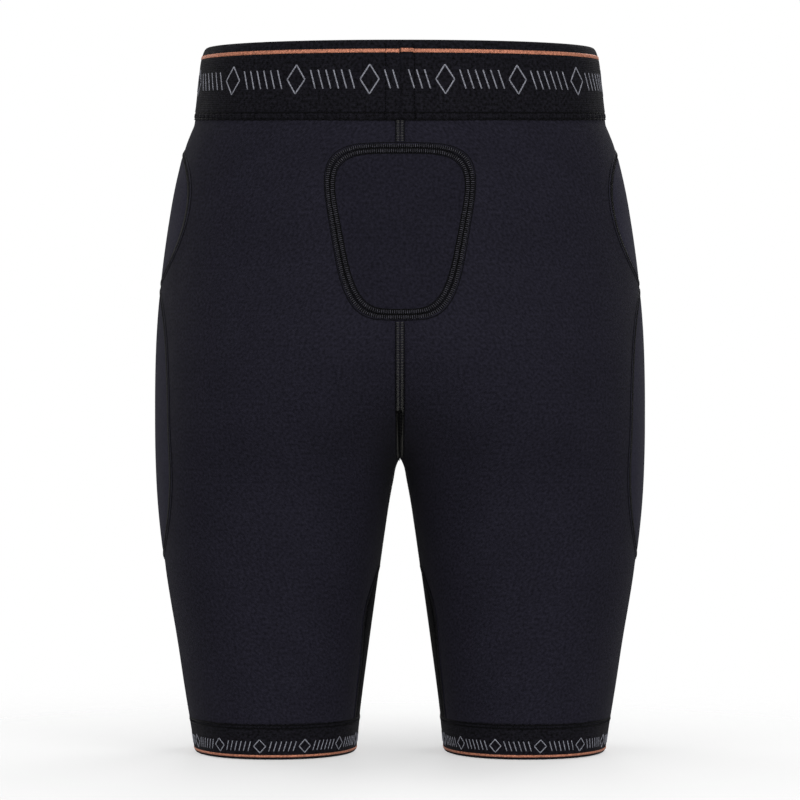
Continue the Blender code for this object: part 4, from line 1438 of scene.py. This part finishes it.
def drop_loose_points(piece):
    used = {corner for face in piece.data.polygons for corner in face.vertices}
    keep = sorted(used)
    place = {old: new for new, old in enumerate(keep)}
    points = [tuple(piece.data.vertices[old].co) for old in keep]
    faces = [tuple(place[corner] for corner in face.vertices) for face in piece.data.polygons]
    mesh = bpy.data.meshes.new(piece.name)
    mesh.from_pydata(points, [], faces)
    mesh.shade_smooth()
    mesh.materials.append(piece.data.materials[0])
    piece.data = mesh


def pocket_lining(name, face, shell, bottom, top, half_width, closed_top):
    """A lining sewn to the shell round its edges and standing off behind the pad between them."""
    shares = np.linspace(0.0, 1.0, 31)
    rows = bottom + (0.5 - 0.5 * np.cos(math.pi * shares)) * (top - bottom)
    reaches = -np.cos(math.pi * shares)
    points, spots = [], []
    for height in rows:
        for reach in reaches:
            across = reach * half_width(height)
            off = smooth_step((1.0 - abs(reach)) * half_width(height) / 0.004)
            off *= smooth_step((height - bottom) / 0.004)
            if closed_top:
                off *= smooth_step((top - height) / 0.004)
            near = np.array(shell(across, height, -FABRIC - 0.0004))
            far = np.array(face(across, height, -FOAM - 0.0014))
            points.append(near * (1.0 - off) + far * off)
            spots.append((across, height))
    piece = make_piece(name, points, grid_faces(31, 31), LINING_MESH, spots)
    return thicken(piece, 0.0005)


def add_pads():
    both_sides(foam_pad("hip_foam_left", hip_pad_face, HIP_PAD), "hip_pad", ["hip_pad_{side}"])
    both_sides(foam_pad("thigh_foam_left", thigh_pad_face, THIGH_PAD), "leg", ["thigh_pad_{side}"])
    pad = foam_pad("tailbone_foam", tailbone_pad_face, TAILBONE_PAD)
    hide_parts("tailbone_pad")
    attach(pad, "tailbone_pad")
    both_sides(
        pocket_lining(
            "hip_pocket_mesh_left", hip_pad_face, side_point, HIP_LINING["bottom"],
            HIP_LINING["top"], lambda height: HIP_LINING["half_width"], False,
        ),
        "bend", ["hip_pocket_liner_{side}"],
    )

    def thigh_width(height):
        power = THIGH_POCKET["power"]
        rise = (height - THIGH_POCKET["centre"]) / THIGH_LINING["half_height"]
        width = THIGH_LINING["half_width"] * max(0.0, 1.0 - abs(rise) ** power) ** (1.0 / power)
        return max(0.012, width)

    both_sides(
        pocket_lining(
            "thigh_pocket_mesh_left", thigh_pad_face, side_point,
            THIGH_LINING["bottom"], THIGH_LINING["top"], thigh_width, True,
        ),
        "bend", ["thigh_pocket_liner_{side}"],
    )
    lining = pocket_lining(
        "tailbone_pocket_mesh", tailbone_pad_face, back_point, TAILBONE_LINING["bottom"],
        TAILBONE_LINING["top"], lambda height: TAILBONE_LINING["half_width"], False,
    )
    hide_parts("tailbone_pocket_liner")
    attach(lining, "pelvis")


# ---------------------------------------------------------------- studio


FLOOR_REACH = 0.62
FLOOR_FADE_FROM = 0.12
FLOOR_STRENGTH = 0.55
AMBIENT = 0.36
CAMERA_DISTANCE = 2.789
CAMERA_HEIGHT = 0.280
CAMERA_LENS = 185.3
LAMPS = (
    ("key", (-1.6, 2.2, 1.6), 1.6, 26.0),
    ("fill", (1.9, 1.8, 1.3), 1.8, 12.0),
    ("straight_on", (-0.2, 3.4, 0.5), 1.0, 40.0),
    ("front_key", (-1.4, -2.2, 1.8), 1.6, 24.0),
    ("front_fill", (1.9, -1.8, 1.3), 1.8, 16.0),
    ("front_straight_on", (0.0, -3.4, 0.5), 1.0, 36.0),
    ("top", (0.0, 0.0, 2.6), 2.2, 14.0),
)


def add_stage():
    """A pale floor that fades into the white surroundings, so that no horizon shows."""
    corners = [(-FLOOR_REACH, -FLOOR_REACH, 0.0), (FLOOR_REACH, -FLOOR_REACH, 0.0)]
    corners += [(FLOOR_REACH, FLOOR_REACH, 0.0), (-FLOOR_REACH, FLOOR_REACH, 0.0)]
    mesh = bpy.data.meshes.new("floor")
    mesh.from_pydata(corners, [], [(0, 1, 2, 3)])
    floor = bpy.data.objects.new("floor", mesh)
    floor.location.z = -0.0005
    bpy.context.scene.collection.objects.link(floor)
    pale = Look("pale_floor", 0.9, Base_Color=(0.94, 0.94, 0.94, 1.0), Specular_IOR_Level=0.1)
    place = pale.add("ShaderNodeTexCoord", output=3)
    away = pale.add("ShaderNodeVectorMath", output=1, settings={"operation": "LENGTH"}, Vector=place)
    pale.set(Alpha=pale.add(
        "ShaderNodeMapRange", settings={"interpolation_type": "SMOOTHSTEP"},
        Value=away, From_Min=FLOOR_FADE_FROM, From_Max=FLOOR_REACH,
        To_Min=FLOOR_STRENGTH, To_Max=0.0,
    ))
    mesh.materials.append(pale.material)


def add_light(name, place, aim, size, power):
    data = bpy.data.lights.new(name, "AREA")
    data.shape = "DISK"
    data.size = size
    data.energy = power
    lamp = bpy.data.objects.new(name, data)
    lamp.location = place
    direction = Vector(aim) - Vector(place)
    lamp.rotation_euler = direction.to_track_quat("-Z", "Y").to_euler()
    bpy.context.scene.collection.objects.link(lamp)


def add_studio():
    """White surroundings for the eye, softer light for the cloth, and broad lamps all round."""
    scene = bpy.context.scene
    world = bpy.data.worlds.new("studio")
    scene.world = world
    world.use_nodes = True
    tree = world.node_tree
    tree.nodes.clear()
    output = tree.nodes.new("ShaderNodeOutputWorld")
    seen, lit = tree.nodes.new("ShaderNodeBackground"), tree.nodes.new("ShaderNodeBackground")
    seen.inputs["Color"].default_value = (1.0, 1.0, 1.0, 1.0)
    seen.inputs["Strength"].default_value = 1.0
    lit.inputs["Color"].default_value = (1.0, 1.0, 1.0, 1.0)
    lit.inputs["Strength"].default_value = AMBIENT
    path, mix = tree.nodes.new("ShaderNodeLightPath"), tree.nodes.new("ShaderNodeMixShader")
    tree.links.new(path.outputs["Is Camera Ray"], mix.inputs[0])
    tree.links.new(lit.outputs[0], mix.inputs[1])
    tree.links.new(seen.outputs[0], mix.inputs[2])
    tree.links.new(mix.outputs[0], output.inputs[0])
    middle = (0.0, 0.0, HEIGHT / 2.0)
    for name, place, size, power in LAMPS:
        add_light(name, place, middle, size, power)
    scene.view_settings.view_transform = "Standard"


def add_camera():
    """Straight behind the shorts and level, a little above their middle, shifted to frame them."""
    data = bpy.data.cameras.new("camera")
    data.sensor_width = 36.0
    data.lens = CAMERA_LENS
    slope = (HEIGHT / 2.0 - CAMERA_HEIGHT) / (CAMERA_DISTANCE - SIDE_LINE_Y)
    data.shift_y = slope * data.lens / data.sensor_width
    camera = bpy.data.objects.new("camera", data)
    camera.location = (0.0, CAMERA_DISTANCE, CAMERA_HEIGHT)
    camera.rotation_euler = (math.pi / 2.0, 0.0, math.pi)
    bpy.context.scene.collection.objects.link(camera)
    bpy.context.scene.camera = camera


add_body()
add_body_seams()
add_centre_seams()
add_patches()
add_waistband()
add_hem_bands()
add_inside_details()
add_pads()
add_stage()
add_studio()
add_camera()
